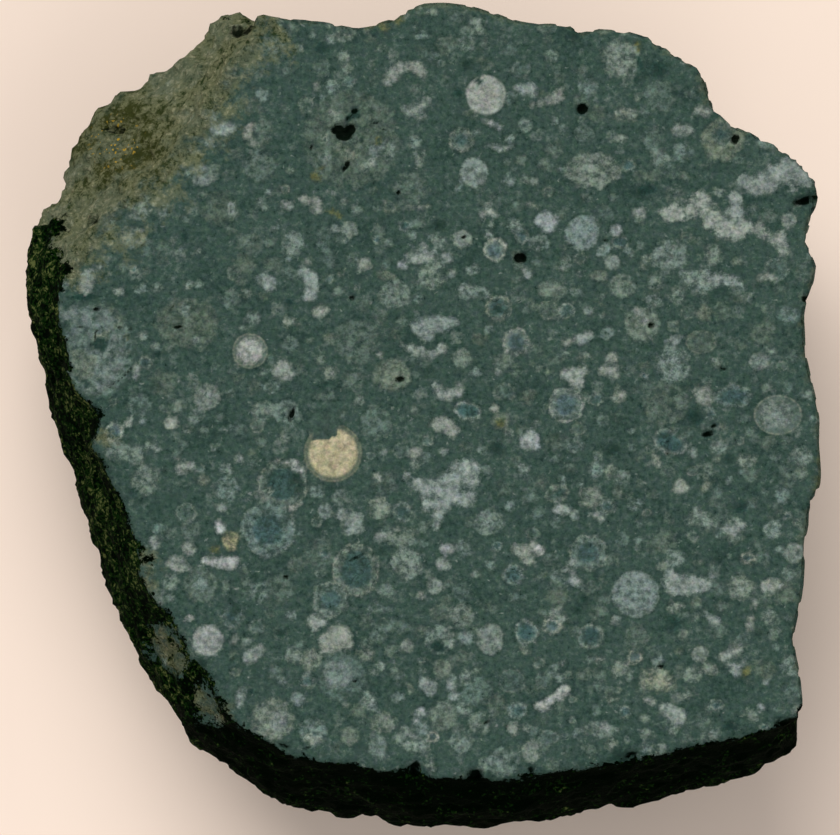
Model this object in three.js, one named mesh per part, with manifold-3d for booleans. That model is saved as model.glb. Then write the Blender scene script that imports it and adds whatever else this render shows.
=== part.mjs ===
// A stony meteorite, sawn across: one solid stone with a flat sawn face on top, a crusted side and
// underside where its own skin is left, a weathered facet, and steep broken sides.
// Millimetres, +Z up. The origin is the centre of the small flat spot that the stone rests on.

import * as THREE from 'three';
import { mergeVertices } from 'three/addons/utils/BufferGeometryUtils.js';
import { ImprovedNoise } from 'three/addons/math/ImprovedNoise.js';
import Module from 'manifold-3d';

// Driving dimensions.
const SAWN_HEIGHT = 15; // resting spot to sawn face
const BULGE_HEIGHT = 8.2; // where the crusted side stands out furthest
const FOOT_HEIGHT = 4.8; // where a broken side meets the underside, give or take FOOT_WAVE
const FOOT_WAVE = 1.5;
const FOOT_SHARE = 0.93; // the stone's radius there, as a share of the sawn face's
const REST_RADIUS = 7.5; // the underside is flat inside this
const WIDEST_GROWTH = 1.006; // the true widest outline against the one laid out below

// How finely the skin is divided: round the stone, and from the sawn face to the resting spot.
const AROUND = 180;
const DOWN = 23;

// Relief: the size of its lumps and how far they stand out.
const SWELL = { wavelength: 7, height: 1.0 }; // slow lumps of the crusted side and underside
const CHIPS = { wavelength: 6, height: 1.3, least: 0.6 }; // of a broken side, which only loses stone
const FLAKES = { wavelength: 5, height: 0.7 }; // of the weathered facet, which only loses stone

// Both outlines are laid out on a 42 mm square: millimetres right and down from its upper left corner.
// CENTRE is the stone's axis there.
const CENTRE = [22.0, 21.0];
// Broken edge, clockwise from the upper left peak to the lower right corner. The sawn face and the
// widest outline share it, because the stone is broken off steeply here.
const BROKEN_EDGE = [
  [12.9, 0.6], [14.0, 0.85], [16.25, 1.0], [17.65, 1.35], [18.3, 1.4], [18.8, 1.1], [19.9, 0.8], [20.2, 0.4],
  [20.95, 0.1], [22.05, 0.05], [23.35, 0.2], [24.7, 0.55], [25.9, 1.0], [27.05, 1.15], [28.0, 1.05],
  [28.75, 1.25], [29.05, 1.55], [29.7, 1.35], [31.05, 1.45], [32.05, 1.6], [33.0, 2.25], [34.25, 2.95],
  [35.25, 3.65], [35.4, 4.2], [35.6, 5.25], [36.2, 6.0], [37.75, 6.7], [38.6, 7.15], [39.85, 7.85],
  [40.85, 9.0], [41.05, 9.55], [41.0, 10.15], [40.5, 11.0], [40.2, 12.3], [40.75, 12.85], [40.9, 13.4],
  [40.65, 14.35], [40.25, 15.25], [40.3, 17.55], [40.85, 19.9], [41.05, 20.8], [41.0, 21.85],
  [41.15, 23.65], [41.1, 24.45], [40.55, 25.2], [40.5, 26.5], [40.3, 27.2], [40.35, 27.9], [40.25, 29.55],
  [39.95, 30.9], [39.7, 31.95], [40.1, 33.8], [40.25, 35.8],
];
// Widest outline of the crusted side and of the weathered facet, on clockwise to the peak. It is laid out
// as it looks from above, where the bulge lies further away and so looks smaller than the sawn face.
const WIDEST_EDGE = [
  [40.25, 36.5], [39.9, 37.3], [38.7, 38.0], [37.45, 38.65], [35.85, 39.25], [33.9, 39.55], [33.35, 39.85],
  [32.0, 40.1], [29.9, 40.4], [27.8, 40.85], [26.05, 41.1], [24.6, 41.35], [21.55, 41.25], [19.6, 41.1],
  [18.2, 40.7], [17.3, 41.0], [16.35, 40.55], [14.35, 40.3], [13.2, 39.55], [12.05, 38.8], [11.15, 37.95],
  [9.95, 37.35], [9.4, 36.75], [8.8, 35.5], [7.85, 34.35], [7.4, 33.45], [6.65, 31.85], [6.0, 30.85],
  [5.35, 29.2], [5.1, 28.55], [5.4, 28.15], [4.65, 27.15], [4.4, 26.05], [3.75, 24.25], [3.85, 23.8],
  [3.1, 22.2], [2.7, 21.15], [2.6, 20.25], [2.1, 18.55], [1.9, 17.3], [1.55, 15.15], [1.4, 13.2],
  [1.45, 12.4], [1.9, 11.45], [2.1, 10.7], [2.35, 10.0], [3.1, 9.9], [3.25, 8.2], [3.55, 6.95],
  [3.7, 6.5], [4.2, 6.25], [4.85, 5.1], [5.2, 4.6], [6.45, 4.35], [7.6, 3.5], [8.5, 3.1], [9.3, 2.4],
  [10.1, 1.85], [10.2, 1.45], [10.8, 1.0], [11.25, 0.4], [11.8, 0.2], [12.3, 0.25],
];
// Edge of the sawn face along the same stretch.
const SAWN_EDGE = [
  [40.1, 35.95], [39.15, 36.25], [37.8, 36.7], [35.0, 37.2], [33.35, 37.65], [30.95, 38.1], [29.35, 38.35],
  [28.0, 38.55], [25.6, 38.8], [24.25, 39.0], [23.75, 38.65], [23.3, 38.9], [20.95, 38.8], [20.6, 38.2],
  [19.35, 38.55], [17.55, 38.1], [15.8, 38.05], [14.0, 37.4], [12.3, 36.5], [11.2, 35.6], [10.8, 34.45],
  [10.5, 33.55], [9.5, 32.4], [8.4, 30.6], [7.6, 29.8], [7.15, 28.75], [6.85, 26.95], [6.25, 25.35],
  [5.55, 23.75], [5.2, 23.0], [4.55, 22.2], [5.05, 21.1], [4.75, 20.3], [3.95, 19.7], [3.5, 18.8],
  [3.45, 17.4], [3.0, 16.3], [3.0, 15.0], [3.1, 13.75], [3.95, 12.5], [5.0, 11.15], [6.25, 9.9],
  [7.6, 9.0], [8.75, 7.7], [9.75, 6.5], [10.1, 5.4], [10.9, 4.45], [11.5, 3.1], [12.4, 2.2], [12.8, 1.2],
];

// Angles, anticlockwise from +X in degrees, between which each kind of side lies. The rest is crusted.
const BREAK = { from: -38, to: 113 };
const FACET = { from: 116, to: 151 };
const SIDE_BLEND = 5; // one kind of side turns into the next over this many degrees, each way
const NOTCH_SPREAD = 4; // degrees, each way, over which an outline's notches average out

// Shallow thumbprints, melted out of the crust as the stone fell: a point near each one's middle, on the
// side or the underside, its radius and its depth.
const THUMBPRINTS = [
  { at: [-18.0, 1.0, 5.4], radius: 3.4, depth: 0.9 },
  { at: [-15.5, -8.2, 4.9], radius: 3.1, depth: 0.8 },
  { at: [-9.5, -15.0, 4.6], radius: 3.8, depth: 1.0 },
  { at: [0.0, -17.4, 4.6], radius: 3.2, depth: 0.8 },
  { at: [9.0, -15.6, 4.6], radius: 3.5, depth: 0.9 },
  { at: [-12.6, 6.5, 1.9], radius: 3.2, depth: 0.8 },
  { at: [-11.4, -3.8, 1.0], radius: 2.9, depth: 0.7 },
  { at: [-4.5, -11.4, 0.9], radius: 3.0, depth: 0.7 },
  { at: [5.0, -11.2, 0.8], radius: 2.7, depth: 0.6 },
  { at: [12.2, -8.0, 1.6], radius: 3.5, depth: 0.9 },
  { at: [12.5, 1.6, 1.3], radius: 3.0, depth: 0.8 },
  { at: [10.2, 10.2, 1.7], radius: 3.3, depth: 0.9 },
  { at: [1.5, 13.0, 1.5], radius: 3.1, depth: 0.8 },
  { at: [-6.6, 11.6, 1.5], radius: 2.8, depth: 0.7 },
];

// Bites out of the broken and weathered sides, where lumps and ledges came away.
const BITES = [
  { at: [19.1, 6.9, 9.5], radius: 2.4, depth: 1.0 },
  { at: [18.4, -3.1, 7.0], radius: 2.8, depth: 0.9 },
  { at: [18.0, -11.1, 10.0], radius: 2.0, depth: 0.8 },
  { at: [11.6, 16.9, 8.5], radius: 2.6, depth: 1.0 },
  { at: [2.1, 20.2, 9.0], radius: 2.8, depth: 1.1 },
  { at: [-5.4, 19.8, 8.0], radius: 2.2, depth: 0.9 },
  { at: [-13.9, 14.6, 9.5], radius: 2.2, depth: 0.7 },
  { at: [-17.4, 10.4, 7.0], radius: 2.0, depth: 0.6 },
];

// Pits in the sawn face, where soft grains were lost: middle on the outlines' square, half width, half
// height and depth.
const PITS = [
  { at: [17.2, 6.6], half: [0.62, 0.36], depth: 0.6 },
  { at: [29.1, 5.45], half: [0.3, 0.26], depth: 0.5 },
  { at: [25.95, 12.95], half: [0.34, 0.26], depth: 0.5 },
  { at: [36.75, 6.95], half: [0.24, 0.26], depth: 0.4 },
  { at: [14.6, 20.65], half: [0.2, 0.42], depth: 0.4 },
  { at: [35.45, 21.7], half: [0.36, 0.2], depth: 0.4 },
  { at: [20.05, 18.95], half: [0.3, 0.22], depth: 0.3 },
  { at: [40.4, 10.0], half: [0.7, 0.22], depth: 0.6 },
  { at: [33.55, 21.65], half: [0.2, 0.18], depth: 0.3 },
];

const { degToRad, lerp, smoothstep } = THREE.MathUtils;
const noise = new ImprovedNoise();

// Several octaves of noise at a point, the coarsest with the given wavelength.
function roughness(point, wavelength, octaves) {
  let sum = 0;
  for (let octave = 0; octave < octaves; octave++) {
    const scale = 2 ** octave / wavelength;
    sum += noise.noise(point.x * scale, point.y * scale, point.z * scale) / 2 ** octave;
  }
  return sum;
}

// Depth lost to a list of hollows at a point.
function hollowed(point, hollows) {
  return hollows.reduce((sum, { at, radius, depth }) => {
    const distance = point.distanceTo(new THREE.Vector3(...at)) / radius;
    return sum + depth * Math.exp(-distance * distance);
  }, 0);
}

// A point of the outlines' square in the stone's own frame.
function fromSquare([right, down]) {
  return new THREE.Vector2(right - CENTRE[0], CENTRE[1] - down);
}

// Distance from the axis to an outline in a direction: the furthest crossing of a ray with its sides.
function outlineRadius(outline, degrees) {
  const ray = new THREE.Vector2(Math.cos(degToRad(degrees)), Math.sin(degToRad(degrees)));
  let furthest = 0;
  outline.forEach((start, i) => {
    const side = outline[(i + 1) % outline.length].clone().sub(start);
    const across = ray.cross(side);
    const along = start.cross(side) / across;
    const share = start.cross(ray) / across;
    if (across !== 0 && share >= 0 && share <= 1 && along > furthest) furthest = along;
  });
  return furthest;
}

// The outline's radius in a direction, and the same with its notches averaged out.
function outlineRadii(outline, degrees, growth) {
  let sum = 0;
  for (let offset = -NOTCH_SPREAD; offset <= NOTCH_SPREAD; offset++) {
    sum += outlineRadius(outline, degrees + offset);
  }
  return { exact: growth * outlineRadius(outline, degrees), smooth: growth * sum / (2 * NOTCH_SPREAD + 1) };
}

// 1 inside a span of degrees, 0 outside it, with soft ends.
function spanWeight(degrees, { from, to }) {
  const rise = smoothstep(degrees, from - SIDE_BLEND, from + SIDE_BLEND);
  return rise * (1 - smoothstep(degrees, to - SIDE_BLEND, to + SIDE_BLEND));
}

// Each kind of side below gives a radius and a height for a share of the way down, which runs from just
// above the sawn face, a little under 0, to 1 at the resting spot.
const BULGE_SHARE = 0.34;
const FOOT_DOWN_SHARE = 0.5;

// The radii that shape the skin between the sawn face and the bulge, and under it. An outline's notches
// fade out away from it.
function shapingRadii(down, sawn, widest) {
  const fromSaw = smoothstep(down, 0, 0.4 * BULGE_SHARE);
  const toBulge = smoothstep(down, 0.5 * BULGE_SHARE, BULGE_SHARE);
  const pastBulge = smoothstep(down, BULGE_SHARE, BULGE_SHARE + 0.2);
  return {
    top: lerp(sawn.exact, sawn.smooth, fromSaw),
    bulge: lerp(widest.smooth, widest.exact, toBulge * (1 - pastBulge)),
  };
}

// A crusted side: out to the bulge, then under in a quarter round.
function crustedSide(down, sawn, widest) {
  const { top, bulge } = shapingRadii(down, sawn, widest);
  if (down < BULGE_SHARE) {
    const share = down / BULGE_SHARE;
    return [top + (bulge - top) * Math.sin(share * Math.PI / 2), lerp(SAWN_HEIGHT, BULGE_HEIGHT, share)];
  }
  const turn = ((down - BULGE_SHARE) / (1 - BULGE_SHARE)) * Math.PI / 2;
  return [lerp(REST_RADIUS, bulge, Math.cos(turn)), BULGE_HEIGHT * (1 - Math.sin(turn))];
}

// The weathered facet: a straight slope out to a blunt lower edge, then under.
function facetSide(down, sawn, widest) {
  const { top, bulge } = shapingRadii(down, sawn, widest);
  if (down < BULGE_SHARE) {
    const share = down / BULGE_SHARE;
    return [lerp(top, bulge, share), lerp(SAWN_HEIGHT, BULGE_HEIGHT, share)];
  }
  const share = (down - BULGE_SHARE) / (1 - BULGE_SHARE);
  return [lerp(bulge, REST_RADIUS, share ** 1.25), BULGE_HEIGHT * (1 - share) ** 1.5];
}

// A broken side: nearly straight down to its foot, then under in a shallow bowl.
function brokenSide(down, sawn, footHeight) {
  const foot = sawn.smooth * FOOT_SHARE;
  if (down < FOOT_DOWN_SHARE) {
    const share = down / FOOT_DOWN_SHARE;
    const top = lerp(sawn.exact, Math.min(sawn.exact, sawn.smooth), smoothstep(share, 0, 0.3));
    return [lerp(top, foot, share), lerp(SAWN_HEIGHT, footHeight, share)];
  }
  const share = (down - FOOT_DOWN_SHARE) / (1 - FOOT_DOWN_SHARE);
  return [lerp(foot, REST_RADIUS, share), footHeight * (1 - share) ** 1.7];
}

// Everything about the stone in one direction that doesn't change with height.
function column(degrees, sawnOutline, widestOutline) {
  const [x, y] = [Math.cos(degToRad(degrees)), Math.sin(degToRad(degrees))];
  const broken = spanWeight(degrees, BREAK);
  const faceted = spanWeight(degrees, FACET) * (1 - broken);
  return {
    x,
    y,
    broken,
    faceted,
    sawn: outlineRadii(sawnOutline, degrees, 1),
    widest: outlineRadii(widestOutline, degrees, WIDEST_GROWTH),
    footHeight: FOOT_HEIGHT + 2 * FOOT_WAVE * noise.noise(3 * x, 3 * y, 0),
  };
}

// The skin before any relief, blended where one kind of side meets the next.
function smoothPoint({ x, y, broken, faceted, sawn, widest, footHeight }, down) {
  const kinds = [
    [broken, brokenSide(down, sawn, footHeight)],
    [faceted, facetSide(down, sawn, widest)],
    [1 - broken - faceted, crustedSide(down, sawn, widest)],
  ];
  const radius = kinds.reduce((sum, [weight, place]) => sum + weight * place[0], 0);
  const height = kinds.reduce((sum, [weight, place]) => sum + weight * place[1], 0);
  return new THREE.Vector3(radius * x, radius * y, height);
}

// Relief grows away from the sawn face. The crusted side and the facet keep to their outline at the
// bulge, and a broken side only loses stone, so that the widest outline stays as laid out.
function roughPoint(side, down) {
  const point = smoothPoint(side, down);
  const belowSaw = smoothstep(SAWN_HEIGHT - point.z, 0.2, 3);
  const under = smoothstep(BULGE_HEIGHT - point.z, 1, BULGE_HEIGHT);
  const broken = side.broken * smoothstep(point.z, side.footHeight - 3, side.footHeight + 1.5);
  const faceted = side.faceted * (1 - under) * (1 - broken);
  const awayFromBulge = smoothstep(Math.abs(point.z - BULGE_HEIGHT), 0, 3.5);
  const swell = SWELL.height * roughness(point, SWELL.wavelength, 2) - hollowed(point, THUMBPRINTS);
  const chips = CHIPS.least + CHIPS.height * roughness(point, CHIPS.wavelength, 3) + hollowed(point, BITES);
  const flakes = FLAKES.height * Math.abs(roughness(point, FLAKES.wavelength, 2)) + hollowed(point, BITES);
  const lost = broken * Math.max(chips, 0) + faceted * awayFromBulge * flakes;
  const push = belowSaw * ((1 - broken - faceted) * awayFromBulge * swell - lost);
  const outward = new THREE.Vector3(side.x * (1 - under), side.y * (1 - under), -under).normalize();
  point.addScaledVector(outward, push);
  point.z = Math.max(point.z, 0);
  return point;
}

// The stone before sawing: a lathe blank whose rings are moved out to the skin.
function uncutStone() {
  const widestOutline = [...BROKEN_EDGE, ...WIDEST_EDGE].map(fromSquare);
  const sawnOutline = [...BROKEN_EDGE, ...SAWN_EDGE].map(fromSquare);
  const aboveSaw = -0.06;
  const downShares = [];
  for (let row = 0; row <= DOWN; row++) downShares.push(lerp(1, aboveSaw, row / DOWN));
  const rings = downShares.map(down => new THREE.Vector2(1, 1 - down));
  const profile = [new THREE.Vector2(0, 0), ...rings, new THREE.Vector2(0, 2)];
  const blank = new THREE.LatheGeometry(profile, AROUND);
  const position = blank.getAttribute('position');
  for (let meridian = 0; meridian <= AROUND; meridian++) {
    const first = meridian * profile.length;
    const degrees = ((((meridian % AROUND) * 360) / AROUND + 60) % 360) - 60;
    const side = column(degrees, sawnOutline, widestOutline);
    position.setXYZ(first, 0, 0, 0);
    downShares.forEach((down, row) => {
      const point = roughPoint(side, down);
      position.setXYZ(first + 1 + row, point.x, point.y, row === 0 ? 0 : point.z);
    });
    position.setXYZ(first + profile.length - 1, 0, 0, SAWN_HEIGHT + 2);
  }
  return blank;
}

const wasm = await Module();
wasm.setup();

// A closed three.js geometry as a solid that can be cut.
function solid(geometry) {
  const bare = geometry.clone();
  bare.deleteAttribute('normal');
  bare.deleteAttribute('uv');
  const merged = mergeVertices(bare, 1e-4);
  return new wasm.Manifold(new wasm.Mesh({
    numProp: 3,
    vertProperties: merged.getAttribute('position').array,
    triVerts: new Uint32Array(merged.index.array),
  }));
}

// The block of space above the sawn face.
function sawnAway() {
  const size = 80;
  return solid(new THREE.BoxGeometry(size, size, size).translate(0, 0, SAWN_HEIGHT + size / 2));
}

function pit({ at, half, depth }) {
  const middle = fromSquare(at);
  const bowl = new THREE.SphereGeometry(1, 12, 8).scale(half[0], half[1], depth);
  return solid(bowl.translate(middle.x, middle.y, SAWN_HEIGHT));
}

function sawnStone() {
  let stone = solid(uncutStone()).subtract(sawnAway());
  for (const hole of PITS) stone = stone.subtract(pit(hole));
  const { vertProperties, numProp, triVerts } = stone.getMesh();
  const geometry = new THREE.BufferGeometry();
  geometry.setAttribute('position', new THREE.BufferAttribute(vertProperties, numProp));
  geometry.setIndex(new THREE.BufferAttribute(triVerts, 1));
  geometry.computeVertexNormals();
  return geometry;
}

const stoneMaterial = new THREE.MeshStandardMaterial({ color: 0x465b52, roughness: 0.8, metalness: 0 });
const meteorite = new THREE.Mesh(sawnStone(), stoneMaterial);
meteorite.name = 'meteorite';

const model = new THREE.Group();
model.add(meteorite);

export default model;
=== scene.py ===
import math
import random
from collections import namedtuple

import bmesh
import bpy
import numpy as np
from bpy.props import FloatProperty, FloatVectorProperty, IntProperty, PointerProperty
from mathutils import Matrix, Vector, kdtree, noise
from mathutils.bvhtree import BVHTree


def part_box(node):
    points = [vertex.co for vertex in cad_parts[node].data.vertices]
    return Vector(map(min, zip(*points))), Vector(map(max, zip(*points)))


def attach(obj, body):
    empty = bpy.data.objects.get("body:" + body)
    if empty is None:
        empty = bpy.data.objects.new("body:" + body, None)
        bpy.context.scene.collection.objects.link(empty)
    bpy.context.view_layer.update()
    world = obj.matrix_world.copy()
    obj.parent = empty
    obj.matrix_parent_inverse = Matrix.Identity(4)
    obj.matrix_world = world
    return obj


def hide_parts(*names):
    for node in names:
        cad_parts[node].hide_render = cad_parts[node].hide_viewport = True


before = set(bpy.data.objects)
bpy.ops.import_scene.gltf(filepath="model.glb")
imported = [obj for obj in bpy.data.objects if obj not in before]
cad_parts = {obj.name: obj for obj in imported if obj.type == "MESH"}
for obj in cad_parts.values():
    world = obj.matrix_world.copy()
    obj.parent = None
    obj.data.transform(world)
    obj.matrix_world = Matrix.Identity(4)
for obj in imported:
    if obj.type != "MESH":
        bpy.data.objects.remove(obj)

bl_info = {
    "name": "Sawn Meteorite",
    "version": (1, 0, 0),
    "blender": (4, 5, 0),
    "location": "View3D > Sidebar > Meteorite",
    "description": "Builds a sawn chondrite end piece over its packed solid, with its stage",
    "category": "Add Mesh",
}

# The stone is worked out in millimetres and stored in metres.
MM = 0.001
STONE_NODE = "meteorite"
_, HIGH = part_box(STONE_NODE)
SAWN_HEIGHT = HIGH[2] / MM

# What lies in the sawn face is laid out on the same 42 mm square as the stone's outlines: millimetres
# right and down from its upper left corner. The stone's axis stands at SQUARE_CENTRE.
SQUARE_SIZE = 42.0
SQUARE_CENTRE = (22.0, 21.0)

# Angles, anticlockwise from +X in degrees, between which the sides are broken or weathered. The rest
# is crusted.
BREAK = (-38.0, 115.0)
FACET = (114.0, 157.0)

# Golden crystals show in this spot of the facet: right, down and radius.
GOLDEN_SPOT = (5.7, 7.0, 4.0)

# The crust is dusty between these angles, on the left side, where its olive also stands for painted light
# from the main light, and all round below this height in millimetres.
LIT_DUSTY_CRUST = (151.0, 230.0)
DUST_HEIGHT = 10.5

# How a kind of grain looks. The colours are sRGB, 0 to 255, from the middle out: core, mantle and rim.
# Speckle is how far the stone shows between its crystals, and ragged how far its edge wanders, in
# millimetres. Middle is the core's size as a share of the radius, band the rim's width in millimetres,
# and veins how dark the cracks through it are.
Kind = namedtuple("Kind", "core mantle rim speckle ragged middle band veins", defaults=(0.5, 0.05, 0.0))

KINDS = {
    "grey": Kind((104, 121, 113), (101, 118, 110), (98, 115, 107), 0.75, 0.08),
    "faint": Kind((85, 103, 95), (84, 102, 94), (86, 103, 95), 0.7, 0.1),
    "silver": Kind((118, 134, 128), (117, 132, 126), (119, 134, 126), 0.4, 0.05, veins=0.1),
    "crumbly": Kind((116, 131, 122), (108, 123, 114), (98, 114, 105), 0.65, 0.12),
    "pale": Kind((164, 170, 160), (160, 167, 158), (138, 148, 139), 0.15, 0.02, band=0.06, veins=0.15),
    "cream": Kind(
        (184, 180, 150), (98, 111, 98), (112, 121, 106), 0.05, 0.015, middle=0.83, band=0.06, veins=0.15,
    ),
    "halo": Kind((88, 104, 95), (96, 109, 99), (116, 124, 110), 0.2, 0.01, middle=0.9, band=0.07),
    "white": Kind((138, 149, 142), (129, 141, 134), (114, 127, 120), 0.32, 0.07, middle=0.4, band=0.06),
    "fluffy": Kind((144, 154, 147), (135, 147, 140), (119, 132, 125), 0.3, 0.11, middle=0.4),
    "bright": Kind((170, 177, 172), (160, 167, 161), (140, 148, 143), 0.3, 0.06),
    "lavender": Kind((147, 157, 156), (137, 148, 146), (118, 131, 128), 0.25, 0.06, middle=0.6),
    "blue": Kind((68, 92, 90), (98, 116, 109), (116, 130, 121), 0.7, 0.07, middle=0.55, band=0.09, veins=0.2),
    "deep": Kind((61, 87, 84), (97, 114, 106), (122, 134, 124), 0.65, 0.06, middle=0.66, band=0.1, veins=0.3),
    "ring": Kind((80, 100, 100), (108, 122, 114), (138, 147, 136), 0.5, 0.05, middle=0.6, band=0.13),
    "hoop": Kind((78, 97, 90), (82, 100, 92), (108, 122, 112), 0.6, 0.05, band=0.08),
    "dark": Kind((34, 56, 50), (44, 66, 60), (58, 80, 72), 0.7, 0.08),
    "sandy": Kind((110, 124, 111), (104, 119, 107), (94, 110, 99), 0.45, 0.07, veins=0.2),
    "golden": Kind((132, 141, 124), (124, 136, 121), (106, 119, 106), 0.6, 0.1),
    "yellow": Kind((158, 158, 128), (140, 145, 116), (112, 121, 98), 0.5, 0.06, band=0.04),
    "rusty": Kind((96, 100, 66), (88, 97, 70), (78, 91, 70), 0.6, 0.1),
    "clot": Kind((86, 103, 92), (84, 101, 91), (80, 98, 89), 0.55, 0.14, veins=0.15),
    "mottled": Kind(
        (99, 117, 111), (92, 111, 104), (60, 82, 73), 0.5, 0.06, middle=0.6, band=0.15, veins=0.1,
    ),
    "frosty": Kind((107, 123, 120), (103, 120, 116), (94, 112, 107), 0.3, 0.14, band=0.1, veins=0.1),
    "stone": Kind((66, 86, 78), (66, 86, 78), (66, 86, 78), 0.2, 0.03, band=0.02),
}

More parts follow.
